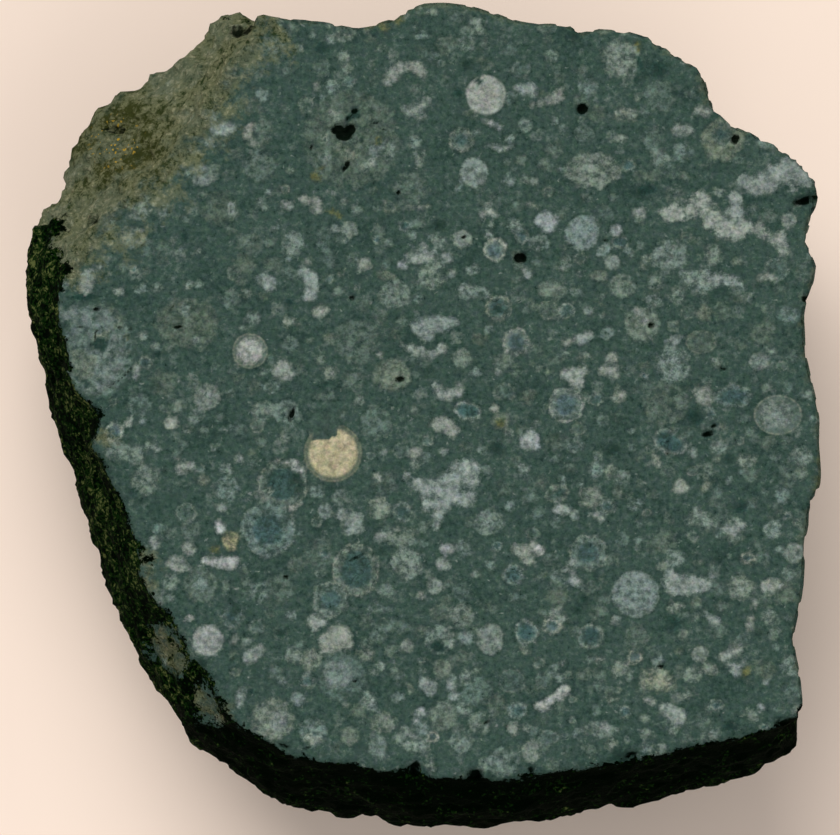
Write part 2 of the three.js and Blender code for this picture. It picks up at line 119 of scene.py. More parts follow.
# Round grains, by kind: right, down and radius, or half width, half height and the tilt in degrees.
ROUND_GRAINS = {
    "clot": [
        (17.55, 6.95, 2.4), (9.4, 16.15, 1.6, 1.2, 0), (11.0, 10.45, 0.85), (16.0, 27.6, 0.7),
        (13.9, 29.5, 0.75), (27.9, 29.8, 0.55), (33.2, 27.1, 0.6), (38.1, 16.6, 0.6), (39.3, 29.6, 0.55),
        (19.2, 24.1, 0.6), (38.35, 22.2, 0.4, 0.3, 0), (32.3, 8.8, 0.7, 0.35, 0),
        (27.75, 22.1, 0.55, 0.4, 20),
    ],
    "mottled": [(4.9, 17.5, 1.85, 2.45, 0), (39.4, 15.7, 0.6)],
    "halo": [(38.9, 20.75, 1.2, 1.0, 0), (12.5, 17.55, 0.88)],
    "cream": [(16.65, 22.65, 1.45)],
    "pale": [(24.3, 4.75, 1.0)],
    "sandy": [
        (19.6, 18.75, 0.93, 0.8, -5), (22.1, 33.45, 0.47), (25.0, 21.05, 0.42), (23.1, 17.9, 0.5),
        (36.1, 7.0, 1.05), (8.95, 20.3, 0.35), (35.25, 15.65, 0.39), (27.6, 14.5, 0.75, 0.45, -5),
        (31.1, 14.3, 0.65, 0.6, 0), (32.1, 16.25, 0.88), (22.15, 35.8, 0.72), (19.3, 13.8, 0.5, 0.25, -15),
        (23.8, 33.55, 0.2), (34.9, 28.1, 0.25, 0.15, 0), (33.95, 32.55, 0.18), (34.8, 30.1, 0.28),
        (32.75, 14.15, 0.38), (35.3, 24.35, 0.2, 0.32, -20), (30.9, 24.55, 0.3), (32.25, 35.95, 0.25),
        (17.5, 36.8, 0.45), (34.2, 31.7, 0.25), (20.7, 20.6, 0.22, 0.3, 20), (20.5, 34.4, 0.16, 0.24, 0),
        (40.1, 23.6, 0.3),
    ],
    "golden": [(32.85, 34.0, 0.95, 0.6, -15)],
    "deep": [
        (14.15, 24.2, 1.25), (17.8, 28.5, 1.17, 1.33, 0), (26.35, 31.6, 0.57, 0.63, 0), (24.9, 15.4, 0.65),
        (29.55, 31.8, 0.65, 0.62, 0), (23.4, 20.55, 0.68, 0.48, -10), (33.5, 22.1, 0.85, 0.65, -30),
    ],
    "blue": [
        (13.4, 26.5, 1.35), (29.4, 27.65, 0.98, 0.9, 0), (16.5, 30.0, 0.88), (25.7, 28.75, 0.53),
        (16.25, 27.65, 0.3), (11.6, 30.8, 0.55), (27.85, 24.65, 0.55, 0.45, 0), (36.7, 19.8, 0.9, 0.6, 0),
        (31.25, 35.6, 0.34), (28.35, 15.5, 0.42), (26.1, 11.8, 0.35), (23.05, 7.0, 0.6), (20.1, 25.6, 0.5),
        (31.0, 12.1, 0.5, 0.3, 0), (35.5, 20.7, 0.3), (36.1, 6.75, 0.5),
    ],
    "ring": [
        (28.3, 20.25, 0.88), (25.8, 17.1, 0.68), (24.75, 12.5, 0.58), (27.6, 31.3, 0.5, 0.4, 0),
        (21.65, 36.85, 0.3), (37.4, 27.9, 0.38, 0.3, 0), (31.75, 32.85, 0.38), (5.7, 21.6, 0.5),
    ],
    "faint": [
        (17.85, 17.1, 1.1), (20.5, 9.4, 0.85), (17.1, 33.85, 1.2), (31.8, 31.95, 0.62), (18.8, 21.15, 0.75),
        (10.05, 29.25, 0.85), (21.0, 11.1, 0.4), (16.1, 3.35, 0.5, 0.38, 0), (14.25, 1.5, 0.6, 0.4, 0),
        (13.2, 6.6, 0.5, 0.7, 0), (29.15, 3.6, 0.3), (6.95, 20.25, 0.6), (19.1, 31.6, 0.9, 0.4, 45),
        (25.8, 29.9, 0.5, 0.25, 0), (23.8, 34.5, 0.75), (39.65, 34.6, 0.55), (40.1, 13.7, 0.4),
        (39.4, 23.8, 0.5), (33.3, 20.2, 1.1), (35.9, 31.5, 0.45), (38.7, 31.7, 0.35), (19.9, 34.1, 0.25),
        (26.5, 24.75, 0.37),
    ],
    "silver": [
        (31.8, 29.7, 1.17), (29.1, 11.65, 0.85), (16.85, 33.75, 0.75), (24.5, 31.95, 0.66, 0.75, 0),
        (38.8, 20.75, 0.9, 0.7, 0), (10.1, 8.75, 0.55), (17.45, 11.5, 0.42), (16.75, 11.4, 0.22),
        (23.7, 8.6, 0.7), (26.7, 9.1, 0.22), (23.1, 11.95, 0.45), (30.2, 12.5, 0.42, 0.25, 40),
        (30.65, 13.1, 0.38), (29.43, 15.53, 0.19), (37.95, 18.05, 0.46), (39.45, 11.0, 0.34, 0.4, 0),
        (35.0, 32.7, 0.4), (30.8, 31.0, 0.26), (26.55, 37.6, 0.43, 0.58, 0), (14.9, 34.95, 0.36),
        (21.7, 29.3, 0.4), (20.35, 32.3, 0.33), (39.7, 27.65, 0.5), (23.25, 31.9, 0.35), (10.35, 19.85, 0.65),
        (28.75, 25.75, 0.25), (16.25, 25.55, 0.36), (10.05, 29.25, 0.35),
    ],
    "crumbly": [
        (31.05, 3.0, 0.98), (29.6, 8.5, 1.4, 0.9, 0), (14.65, 12.2, 0.56), (33.5, 12.8, 0.88),
        (33.7, 18.2, 0.85), (20.35, 28.2, 0.85, 0.75, 0), (24.45, 26.1, 0.7), (23.15, 30.75, 0.65),
        (29.5, 24.85, 0.58), (37.05, 29.35, 0.65), (38.5, 30.9, 0.4), (35.7, 28.6, 0.3), (33.75, 27.85, 0.45),
        (33.8, 30.3, 0.45, 0.25, 10), (30.95, 33.5, 0.4), (21.95, 12.05, 0.45, 0.35, 0), (25.7, 11.3, 0.35),
        (26.65, 10.3, 0.22), (14.65, 32.85, 0.42), (15.55, 33.0, 0.5), (18.5, 35.05, 0.35, 0.5, 30),
        (40.1, 22.8, 0.5), (38.65, 26.55, 0.45), (16.5, 18.6, 0.42, 0.3, -20), (19.0, 25.4, 0.55),
        (30.5, 23.6, 0.3), (36.75, 26.5, 0.6), (34.2, 34.8, 0.4, 0.25, 0), (13.6, 36.0, 1.05),
        (23.2, 33.9, 0.4), (30.6, 35.0, 0.3, 0.15, 20), (37.3, 23.05, 0.5, 0.35, 0),
    ],
    "bright": [(12.5, 17.55, 0.65)],
    "lavender": [(10.4, 32.05, 0.78), (22.35, 27.45, 0.4, 0.3, 0), (26.5, 22.05, 0.5), (30.8, 11.5, 0.28)],
    "grey": [
        (9.3, 8.5, 0.4), (6.7, 11.85, 0.65, 0.55, 0), (8.65, 12.05, 0.2), (8.95, 12.7, 0.25),
        (13.7, 2.35, 0.55), (12.15, 2.3, 0.4), (9.45, 4.65, 0.4), (5.7, 8.65, 0.3), (20.8, 7.15, 0.3),
        (23.9, 1.3, 0.45), (21.05, 1.8, 0.38, 0.22, 0), (23.3, 2.2, 0.4), (26.25, 6.25, 0.35),
        (18.55, 3.2, 0.2), (16.1, 4.9, 0.2), (17.15, 2.85, 0.35, 0.3, 0), (17.25, 1.75, 0.5, 0.35, 0),
        (27.55, 2.85, 0.35), (29.35, 4.35, 0.45), (33.0, 7.85, 0.5), (34.2, 7.6, 0.5), (12.6, 16.0, 0.4),
        (9.25, 15.5, 0.28, 0.4, 0), (6.8, 22.8, 0.45), (5.9, 22.6, 0.6), (9.75, 20.8, 0.4),
        (7.5, 22.3, 0.35, 0.18, 0), (11.35, 24.45, 0.6), (14.35, 20.7, 0.7), (20.65, 11.8, 0.2),
        (14.45, 12.95, 0.15), (17.9, 13.6, 0.15), (21.6, 13.75, 0.7), (25.35, 8.15, 0.15), (24.4, 16.5, 0.2),
        (32.75, 14.1, 0.4), (35.65, 12.7, 0.5, 0.45, 0), (33.85, 14.75, 0.43), (38.5, 17.5, 0.28),
        (28.8, 14.6, 0.3, 0.2, 0), (24.4, 23.5, 0.25), (24.1, 22.5, 0.2), (29.8, 23.5, 0.4),
        (25.5, 25.3, 0.28), (34.65, 22.6, 0.2, 0.35, 0), (35.25, 23.5, 0.35, 0.4, 0),
        (36.4, 24.0, 0.25, 0.15, 30), (39.1, 24.8, 0.38), (24.55, 28.3, 0.25), (23.8, 28.65, 0.2),
        (23.2, 27.4, 0.4), (8.5, 29.05, 0.42), (12.25, 32.05, 0.3), (12.95, 29.6, 0.48), (18.75, 30.35, 0.33),
        (22.0, 32.0, 0.72), (27.65, 33.4, 0.25), (29.5, 32.9, 0.2), (14.05, 34.05, 0.25), (15.65, 36.6, 0.7),
        (16.8, 36.45, 0.16), (18.9, 37.35, 0.45, 0.65, 0), (23.05, 37.1, 0.62), (24.15, 38.3, 0.3),
        (30.0, 36.5, 0.85, 0.42, -5), (28.9, 36.7, 0.3), (37.6, 35.85, 0.36), (34.75, 30.85, 0.23),
        (19.9, 34.85, 0.28),
    ],
    "hoop": [
        (15.3, 5.25, 0.4), (9.3, 25.65, 0.5), (27.4, 15.5, 0.5), (20.05, 22.5, 0.4), (38.2, 30.05, 0.35),
        (27.2, 34.05, 0.42), (33.65, 16.3, 0.28), (38.8, 13.5, 0.6), (25.25, 19.6, 0.58, 0.42, 0),
    ],
    "dark": [
        (24.85, 22.4, 0.4), (11.8, 30.5, 0.27), (23.3, 3.25, 0.3), (28.75, 1.65, 0.4), (9.2, 11.8, 0.25),
        (4.3, 14.85, 0.9, 0.15, 0), (6.6, 24.6, 0.22), (18.95, 11.1, 0.15), (32.2, 9.5, 0.6, 0.35, 10),
        (32.85, 12.3, 0.15), (32.1, 20.4, 0.12, 0.35, 20), (26.5, 25.3, 0.12), (29.25, 25.6, 0.12),
        (28.9, 30.5, 0.3, 0.15, 0), (36.55, 25.4, 0.1), (35.85, 35.9, 0.12), (12.75, 29.35, 0.1),
        (12.85, 29.75, 0.1), (13.1, 29.4, 0.08), (21.9, 32.35, 0.42, 0.3, 0), (3.7, 18.9, 0.15),
        (4.2, 19.0, 0.12), (24.9, 15.45, 0.25), (31.25, 13.95, 0.1), (31.55, 13.95, 0.09), (30.35, 14.4, 0.1),
        (27.85, 24.7, 0.2, 0.1, -20), (12.75, 33.9, 0.1), (8.95, 32.0, 0.3), (9.1, 32.35, 0.22),
        (8.3, 31.1, 0.25),
    ],
    "rusty": [
        (37.3, 33.6, 0.3), (16.1, 8.4, 0.15), (16.6, 10.6, 0.2), (16.95, 10.8, 0.15), (25.0, 21.2, 0.25),
    ],
}

# Ragged grains, by kind: each a run of lobes, right, down and radius, that melt together.
RAGGED_GRAINS = {
    "faint": [
        [(16.2, 11.7, 0.3), (16.1, 12.3, 0.3), (16.4, 12.9, 0.25), (16.6, 13.1, 0.25)],
    ],
    "crumbly": [
        [(34.5, 14.0, 0.4), (35.0, 14.1, 0.5), (35.3, 13.8, 0.4), (35.2, 14.4, 0.35)],
        [(20.0, 36.9, 0.3), (20.6, 37.2, 0.4), (21.1, 37.3, 0.3), (20.3, 36.6, 0.2)],
        [(34.4, 25.9, 0.2), (34.8, 25.6, 0.2), (35.2, 25.9, 0.35), (35.6, 26.1, 0.3), (35.3, 26.4, 0.25)],
        [(31.0, 5.7, 0.3), (31.6, 5.75, 0.3)], [(27.7, 30.6, 0.2), (28.1, 30.9, 0.2), (28.4, 31.2, 0.15)],
        [(16.55, 5.7, 0.22), (16.85, 5.85, 0.15)], [(18.6, 8.1, 0.2), (18.2, 8.35, 0.2)], [(16.2, 6.9, 0.2)],
        [(19.5, 7.8, 0.25), (19.6, 7.3, 0.2)], [(16.2, 7.9, 0.3)],
    ],
    "sandy": [
        [(3.9, 17.8, 0.4), (3.85, 18.4, 0.35), (4.3, 18.7, 0.35), (4.5, 18.1, 0.35)],
        [(5.6, 15.5, 0.2), (5.95, 15.9, 0.2), (6.0, 16.3, 0.2)], [(4.9, 16.9, 0.2), (5.3, 16.8, 0.15)],
        [(16.9, 7.3, 0.15), (17.2, 7.5, 0.2), (17.6, 7.8, 0.22), (17.5, 8.05, 0.15)],
        [(13.1, 0.85, 0.25), (14.0, 0.95, 0.25), (15.0, 1.0, 0.2)],
        [(16.5, 1.25, 0.2), (17.3, 1.4, 0.25), (18.25, 1.5, 0.2)],
        [(29.3, 1.4, 0.2), (30.2, 1.5, 0.25), (31.25, 1.6, 0.2)], [(25.9, 13.3, 0.2), (26.3, 13.5, 0.2)],
        [(26.6, 18.1, 0.12), (27.0, 18.4, 0.12), (27.4, 18.6, 0.1)],
    ],
    "frosty": [
        [(3.35, 15.85, 0.25), (3.75, 15.7, 0.4), (4.4, 15.8, 0.35), (5.0, 15.95, 0.4), (5.5, 16.0, 0.3)],
        [(3.5, 16.6, 0.25)],
        [(5.75, 16.9, 0.3), (5.95, 17.6, 0.35), (5.85, 18.3, 0.4), (5.5, 18.9, 0.4), (5.0, 19.25, 0.35),
         (4.5, 19.5, 0.25), (5.2, 18.3, 0.35), (5.3, 17.8, 0.3)],
        [(18.75, 7.55, 0.3), (19.05, 7.35, 0.2)],
    ],
    "dark": [
        [(31.9, 2.9, 0.15), (32.1, 3.3, 0.25), (32.3, 3.65, 0.22), (31.9, 4.0, 0.2)], [(30.15, 3.2, 0.18)],
        [(14.8, 23.9, 0.25), (15.0, 24.3, 0.25), (14.9, 24.7, 0.2)], [(13.7, 23.6, 0.15), (13.4, 23.9, 0.12)],
        [(4.8, 17.2, 0.2), (5.15, 17.15, 0.2), (5.1, 17.4, 0.15)], [(3.6, 18.45, 0.15)], [(4.35, 19.2, 0.16)],
        [(3.95, 19.35, 0.15)], [(6.4, 17.3, 0.1), (6.5, 17.8, 0.12), (6.35, 18.3, 0.1)],
        [(17.45, 5.9, 0.15), (17.75, 5.55, 0.18), (17.9, 5.8, 0.1)], [(18.1, 7.0, 0.15)], [(17.2, 9.1, 0.15)],
    ],
    "rusty": [
        [(31.85, 2.2, 0.12), (31.95, 2.45, 0.12)], [(18.85, 6.9, 0.12), (18.95, 7.1, 0.12)],
        [(15.75, 8.75, 0.15), (15.9, 8.95, 0.12)], [(6.35, 16.85, 0.12)],
        [(18.4, 1.2, 0.25), (19.2, 1.2, 0.35), (19.9, 1.0, 0.3)],
        [(41.1, 23.0, 0.3), (41.05, 24.0, 0.3), (40.9, 24.5, 0.2)], [(10.75, 27.45, 0.22)],
    ],
    "white": [
        [(20.9, 16.4, 0.3), (21.3, 16.2, 0.35), (21.9, 16.2, 0.4), (22.4, 16.2, 0.3), (22.85, 16.15, 0.15),
         (21.3, 16.75, 0.3), (20.85, 15.65, 0.12)],
        [(20.15, 17.15, 0.12), (20.5, 17.4, 0.2), (21.0, 17.65, 0.25), (21.6, 17.7, 0.25),
         (22.05, 17.4, 0.25)],
        [(21.7, 19.25, 0.15), (22.0, 19.65, 0.22), (22.45, 19.8, 0.25), (22.9, 19.6, 0.22),
         (23.05, 19.3, 0.15)],
        [(21.75, 21.2, 0.25), (22.1, 21.15, 0.35), (22.45, 21.4, 0.35), (22.6, 21.6, 0.2)],
        [(19.3, 4.15, 0.2), (19.55, 3.8, 0.28), (19.9, 3.5, 0.25), (20.1, 3.3, 0.15)],
        [(20.45, 3.3, 0.22), (20.8, 3.4, 0.22), (21.1, 3.6, 0.22)],
        [(20.25, 5.4, 0.15), (20.55, 5.55, 0.2), (20.85, 5.5, 0.15), (21.15, 5.2, 0.17), (21.4, 5.0, 0.15),
         (21.05, 5.85, 0.17)],
        [(25.85, 4.4, 0.12), (26.2, 4.4, 0.2), (26.55, 4.4, 0.25), (26.65, 4.7, 0.2)],
        [(26.6, 5.25, 0.1), (27.05, 5.15, 0.15), (27.45, 5.05, 0.2), (27.85, 4.85, 0.24),
         (28.05, 4.55, 0.15)],
        [(24.35, 7.3, 0.08), (24.7, 7.4, 0.1), (25.0, 7.5, 0.1), (25.3, 7.4, 0.08), (25.7, 7.3, 0.06)],
        [(20.35, 12.8, 0.12), (20.7, 12.95, 0.2), (21.05, 12.95, 0.22), (21.4, 12.8, 0.22),
         (21.65, 12.6, 0.18), (21.1, 12.4, 0.2)],
        [(22.2, 12.85, 0.15), (22.5, 12.9, 0.15)], [(34.9, 5.55, 0.25), (35.4, 5.6, 0.25)],
        [(33.9, 6.45, 0.3), (34.4, 6.5, 0.25)], [(10.85, 6.5, 0.3), (11.4, 6.4, 0.35), (10.55, 7.15, 0.22)],
        [(12.5, 6.35, 0.2), (12.4, 6.75, 0.22), (12.6, 7.2, 0.2)], [(13.1, 14.0, 0.3), (13.5, 14.2, 0.35)],
        [(15.2, 13.6, 0.3), (15.6, 13.9, 0.3), (15.65, 14.4, 0.3), (15.6, 14.8, 0.2), (15.3, 14.9, 0.15)],
        [(15.9, 15.65, 0.25), (16.15, 15.45, 0.25)],
        [(15.2, 10.0, 0.25), (15.8, 10.1, 0.25), (15.9, 10.55, 0.18)],
        [(14.2, 10.3, 0.2), (14.5, 10.3, 0.15)], [(20.5, 10.45, 0.12), (21.0, 10.4, 0.12), (21.4, 10.3, 0.1)],
        [(14.2, 18.4, 0.3), (13.9, 18.6, 0.25), (14.4, 18.75, 0.3), (14.15, 18.1, 0.15)], [(17.1, 25.7, 0.3)],
        [(17.75, 26.0, 0.4), (17.85, 26.45, 0.3), (17.5, 26.6, 0.15)],
        [(18.95, 26.85, 0.22), (19.2, 26.8, 0.15)], [(18.8, 23.8, 0.15), (19.1, 24.0, 0.12)],
        [(9.4, 27.35, 0.28), (9.6, 27.55, 0.22)], [(7.6, 27.0, 0.22), (7.8, 27.25, 0.18)],
        [(8.6, 28.1, 0.25), (9.0, 28.0, 0.2), (8.9, 28.4, 0.25), (9.35, 28.45, 0.15)],
        [(15.7, 31.05, 0.28), (16.1, 31.1, 0.22), (15.75, 31.4, 0.15)],
        [(16.2, 32.0, 0.3), (16.45, 32.3, 0.3), (16.9, 31.7, 0.4), (17.2, 31.9, 0.4), (17.4, 32.2, 0.25),
         (16.6, 31.6, 0.15), (16.8, 32.4, 0.25)],
        [(36.25, 32.85, 0.25), (36.6, 32.6, 0.25), (36.95, 32.45, 0.2)],
        [(36.35, 33.2, 0.12), (36.75, 33.25, 0.2), (36.85, 33.55, 0.22), (37.2, 33.1, 0.1)],
        [(38.2, 29.3, 0.2), (38.55, 29.2, 0.3), (38.9, 29.2, 0.2), (38.6, 29.5, 0.15)],
        [(37.75, 30.1, 0.06), (37.7, 30.5, 0.1), (37.6, 30.9, 0.12), (37.45, 31.2, 0.16)],
        [(35.25, 30.55, 0.08), (35.35, 30.8, 0.1), (35.6, 30.95, 0.18), (35.85, 31.05, 0.2)],
        [(34.85, 19.5, 0.25), (35.3, 19.55, 0.25), (35.0, 19.95, 0.22), (35.4, 20.0, 0.25)],
        [(33.3, 17.15, 0.1), (33.7, 17.0, 0.17), (33.95, 16.9, 0.15)],
        [(28.3, 17.2, 0.15), (28.5, 17.05, 0.1)],
        [(28.8, 17.0, 0.15), (29.1, 16.95, 0.2), (29.4, 16.8, 0.15), (29.5, 16.65, 0.08)],
        [(38.0, 13.85, 0.12), (38.35, 13.8, 0.15), (38.7, 13.95, 0.12)],
        [(33.2, 35.4, 0.2), (33.55, 35.6, 0.35), (33.75, 35.9, 0.35), (34.0, 35.8, 0.25)],
        [(32.3, 35.05, 0.15), (32.6, 35.1, 0.12)], [(30.2, 36.35, 0.25)], [(25.7, 36.45, 0.3)],
        [(8.9, 23.0, 0.15), (9.05, 23.45, 0.25), (9.5, 23.35, 0.2)],
        [(22.7, 33.9, 0.2), (22.55, 34.3, 0.2), (22.7, 34.8, 0.22)],
        [(21.25, 34.1, 0.3), (21.55, 34.4, 0.3), (21.35, 34.5, 0.2)], [(21.05, 29.75, 0.22)],
        [(12.05, 34.7, 0.18), (11.95, 35.2, 0.2), (12.2, 34.4, 0.1)],
        [(12.45, 32.9, 0.3), (12.8, 32.7, 0.3), (13.0, 32.5, 0.2)], [(11.7, 32.0, 0.22)],
        [(4.3, 14.0, 0.35), (4.25, 14.4, 0.3), (4.5, 13.8, 0.25)], [(4.6, 13.5, 0.08), (5.0, 13.35, 0.08)],
        [(28.2, 18.6, 0.15), (28.5, 18.7, 0.25), (28.9, 18.6, 0.25), (29.2, 18.45, 0.2), (28.9, 19.0, 0.3),
         (29.0, 19.3, 0.22)],
        [(24.1, 10.75, 0.12), (24.5, 10.55, 0.13), (24.8, 10.75, 0.12)],
        [(25.7, 27.4, 0.2), (26.2, 27.6, 0.3), (26.5, 27.95, 0.25), (26.6, 27.3, 0.2)],
        [(28.5, 28.95, 0.2), (28.75, 29.1, 0.25)], [(28.3, 28.5, 0.1), (28.6, 28.6, 0.1)],
        [(28.6, 28.15, 0.2)], [(26.2, 13.55, 0.15), (26.4, 13.75, 0.15)],
        [(31.8, 10.6, 0.2), (32.1, 10.65, 0.22)],
        [(30.6, 17.95, 0.3), (30.2, 18.5, 0.25), (30.7, 18.65, 0.28)],
        [(30.9, 19.4, 0.15), (31.1, 19.8, 0.2), (30.7, 19.9, 0.12)],
        [(31.8, 15.5, 0.15), (32.1, 15.75, 0.15), (32.2, 16.1, 0.15)], [(34.0, 24.35, 0.38)],
        [(6.85, 18.4, 0.12), (6.8, 18.8, 0.14)], [(8.9, 19.0, 0.12)], [(8.55, 21.15, 0.35)],
        [(6.4, 21.2, 0.12), (6.5, 20.9, 0.1)], [(7.1, 11.5, 0.12)], [(11.6, 10.2, 0.15), (11.65, 10.6, 0.15)],
        [(9.75, 17.0, 0.15)], [(15.85, 4.3, 0.2)], [(10.35, 19.85, 0.22)], [(14.0, 36.1, 0.45)],
        [(15.35, 36.9, 0.15), (15.6, 37.05, 0.2), (15.9, 36.95, 0.15)],
        [(13.0, 24.6, 0.12), (13.15, 25.0, 0.14), (13.45, 24.6, 0.15)],
        [(12.45, 27.1, 0.1), (12.8, 27.55, 0.13), (13.35, 27.75, 0.14), (13.9, 27.6, 0.12),
         (14.3, 27.2, 0.08)],
        [(22.3, 31.5, 0.12), (22.55, 31.8, 0.15), (22.6, 32.2, 0.12)],
        [(36.3, 26.4, 0.2), (36.7, 26.45, 0.25), (37.1, 26.3, 0.2)], [(38.25, 34.1, 0.16)],
        [(38.1, 35.35, 0.17)],
        [(32.4, 22.4, 0.08), (32.6, 22.7, 0.1), (32.8, 23.0, 0.12), (32.9, 23.3, 0.08)],
        [(22.1, 22.6, 0.15), (22.4, 22.55, 0.1)], [(27.9, 25.5, 0.25), (28.3, 25.5, 0.25)],
        [(29.8, 25.7, 0.2), (30.1, 26.0, 0.15)],
    ],
    "fluffy": [
        [(20.35, 23.75, 0.15), (20.8, 24.2, 0.3), (21.3, 24.4, 0.4), (21.9, 24.4, 0.45), (22.5, 24.1, 0.45),
         (22.9, 23.6, 0.35), (23.3, 23.4, 0.4), (23.6, 23.5, 0.35), (23.6, 24.1, 0.4), (23.45, 24.8, 0.3),
         (22.6, 24.8, 0.4), (23.1, 25.2, 0.2), (22.0, 25.2, 0.35), (21.5, 25.2, 0.3), (21.9, 25.7, 0.3),
         (21.8, 26.2, 0.2)],
        [(33.25, 10.7, 0.3), (33.8, 10.65, 0.45), (34.5, 10.5, 0.4), (35.05, 9.9, 0.4), (35.2, 10.4, 0.4),
         (35.7, 11.0, 0.5), (36.3, 11.4, 0.5), (36.9, 11.5, 0.45), (37.35, 11.4, 0.3)],
        [(36.75, 9.8, 0.28), (36.9, 10.2, 0.28), (36.65, 10.6, 0.22), (36.3, 10.75, 0.15), (36.6, 11.0, 0.2),
         (37.0, 10.9, 0.2)],
        [(37.9, 11.3, 0.15), (38.1, 11.7, 0.2), (38.55, 11.8, 0.2), (39.0, 11.9, 0.28), (39.1, 12.3, 0.2),
         (39.2, 12.6, 0.15)],
        [(37.2, 9.15, 0.35), (37.6, 9.25, 0.42), (38.1, 9.2, 0.5), (38.6, 9.0, 0.55), (39.0, 8.6, 0.5),
         (39.5, 8.4, 0.45), (40.1, 8.8, 0.4), (40.5, 9.0, 0.25), (39.7, 9.4, 0.25)],
        [(33.45, 28.85, 0.3), (33.75, 29.3, 0.4), (34.2, 29.35, 0.4), (34.7, 29.2, 0.35), (35.1, 29.1, 0.3),
         (35.3, 29.3, 0.2), (34.3, 29.6, 0.2)],
        [(35.6, 14.0, 0.25), (35.9, 14.0, 0.28), (36.4, 14.1, 0.26), (36.9, 14.25, 0.22),
         (37.2, 14.45, 0.12), (37.5, 14.75, 0.1)],
    ],
    "lavender": [
        [(20.0, 13.25, 0.12), (20.25, 13.35, 0.12)],
        [(27.0, 11.0, 0.28), (27.35, 10.85, 0.25), (27.6, 11.05, 0.22), (27.4, 11.35, 0.28)],
        [(21.1, 35.45, 0.08), (20.95, 35.7, 0.17), (20.75, 36.0, 0.12)],
        [(24.2, 6.0, 0.12), (24.6, 6.15, 0.15), (25.0, 6.35, 0.12)], [(26.8, 22.3, 0.2)],
    ],
    "bright": [
        [(10.2, 27.95, 0.12), (10.6, 28.1, 0.22), (11.1, 28.1, 0.2), (11.5, 28.2, 0.3), (11.75, 28.05, 0.22)],
        [(26.85, 35.3, 0.15), (27.2, 35.25, 0.25), (27.6, 34.95, 0.2), (28.0, 34.65, 0.25),
         (28.3, 34.5, 0.22)],
        [(14.3, 23.1, 0.12), (14.75, 23.2, 0.2), (15.05, 23.5, 0.16)],
        [(15.0, 25.15, 0.12), (14.6, 25.4, 0.16)], [(10.9, 26.2, 0.18), (11.05, 26.5, 0.2)],
        [(26.95, 27.5, 0.27)], [(9.3, 30.98, 0.08), (9.5, 30.9, 0.08)],
    ],
    "yellow": [
        [(11.35, 26.9, 0.28), (11.5, 27.3, 0.3), (11.75, 26.9, 0.18)],
    ],
}

# Bites taken out of a grain by the stone round it: right, down and radius.
BITES = [(16.15, 21.3, 0.75), (23.95, 4.05, 0.18)]
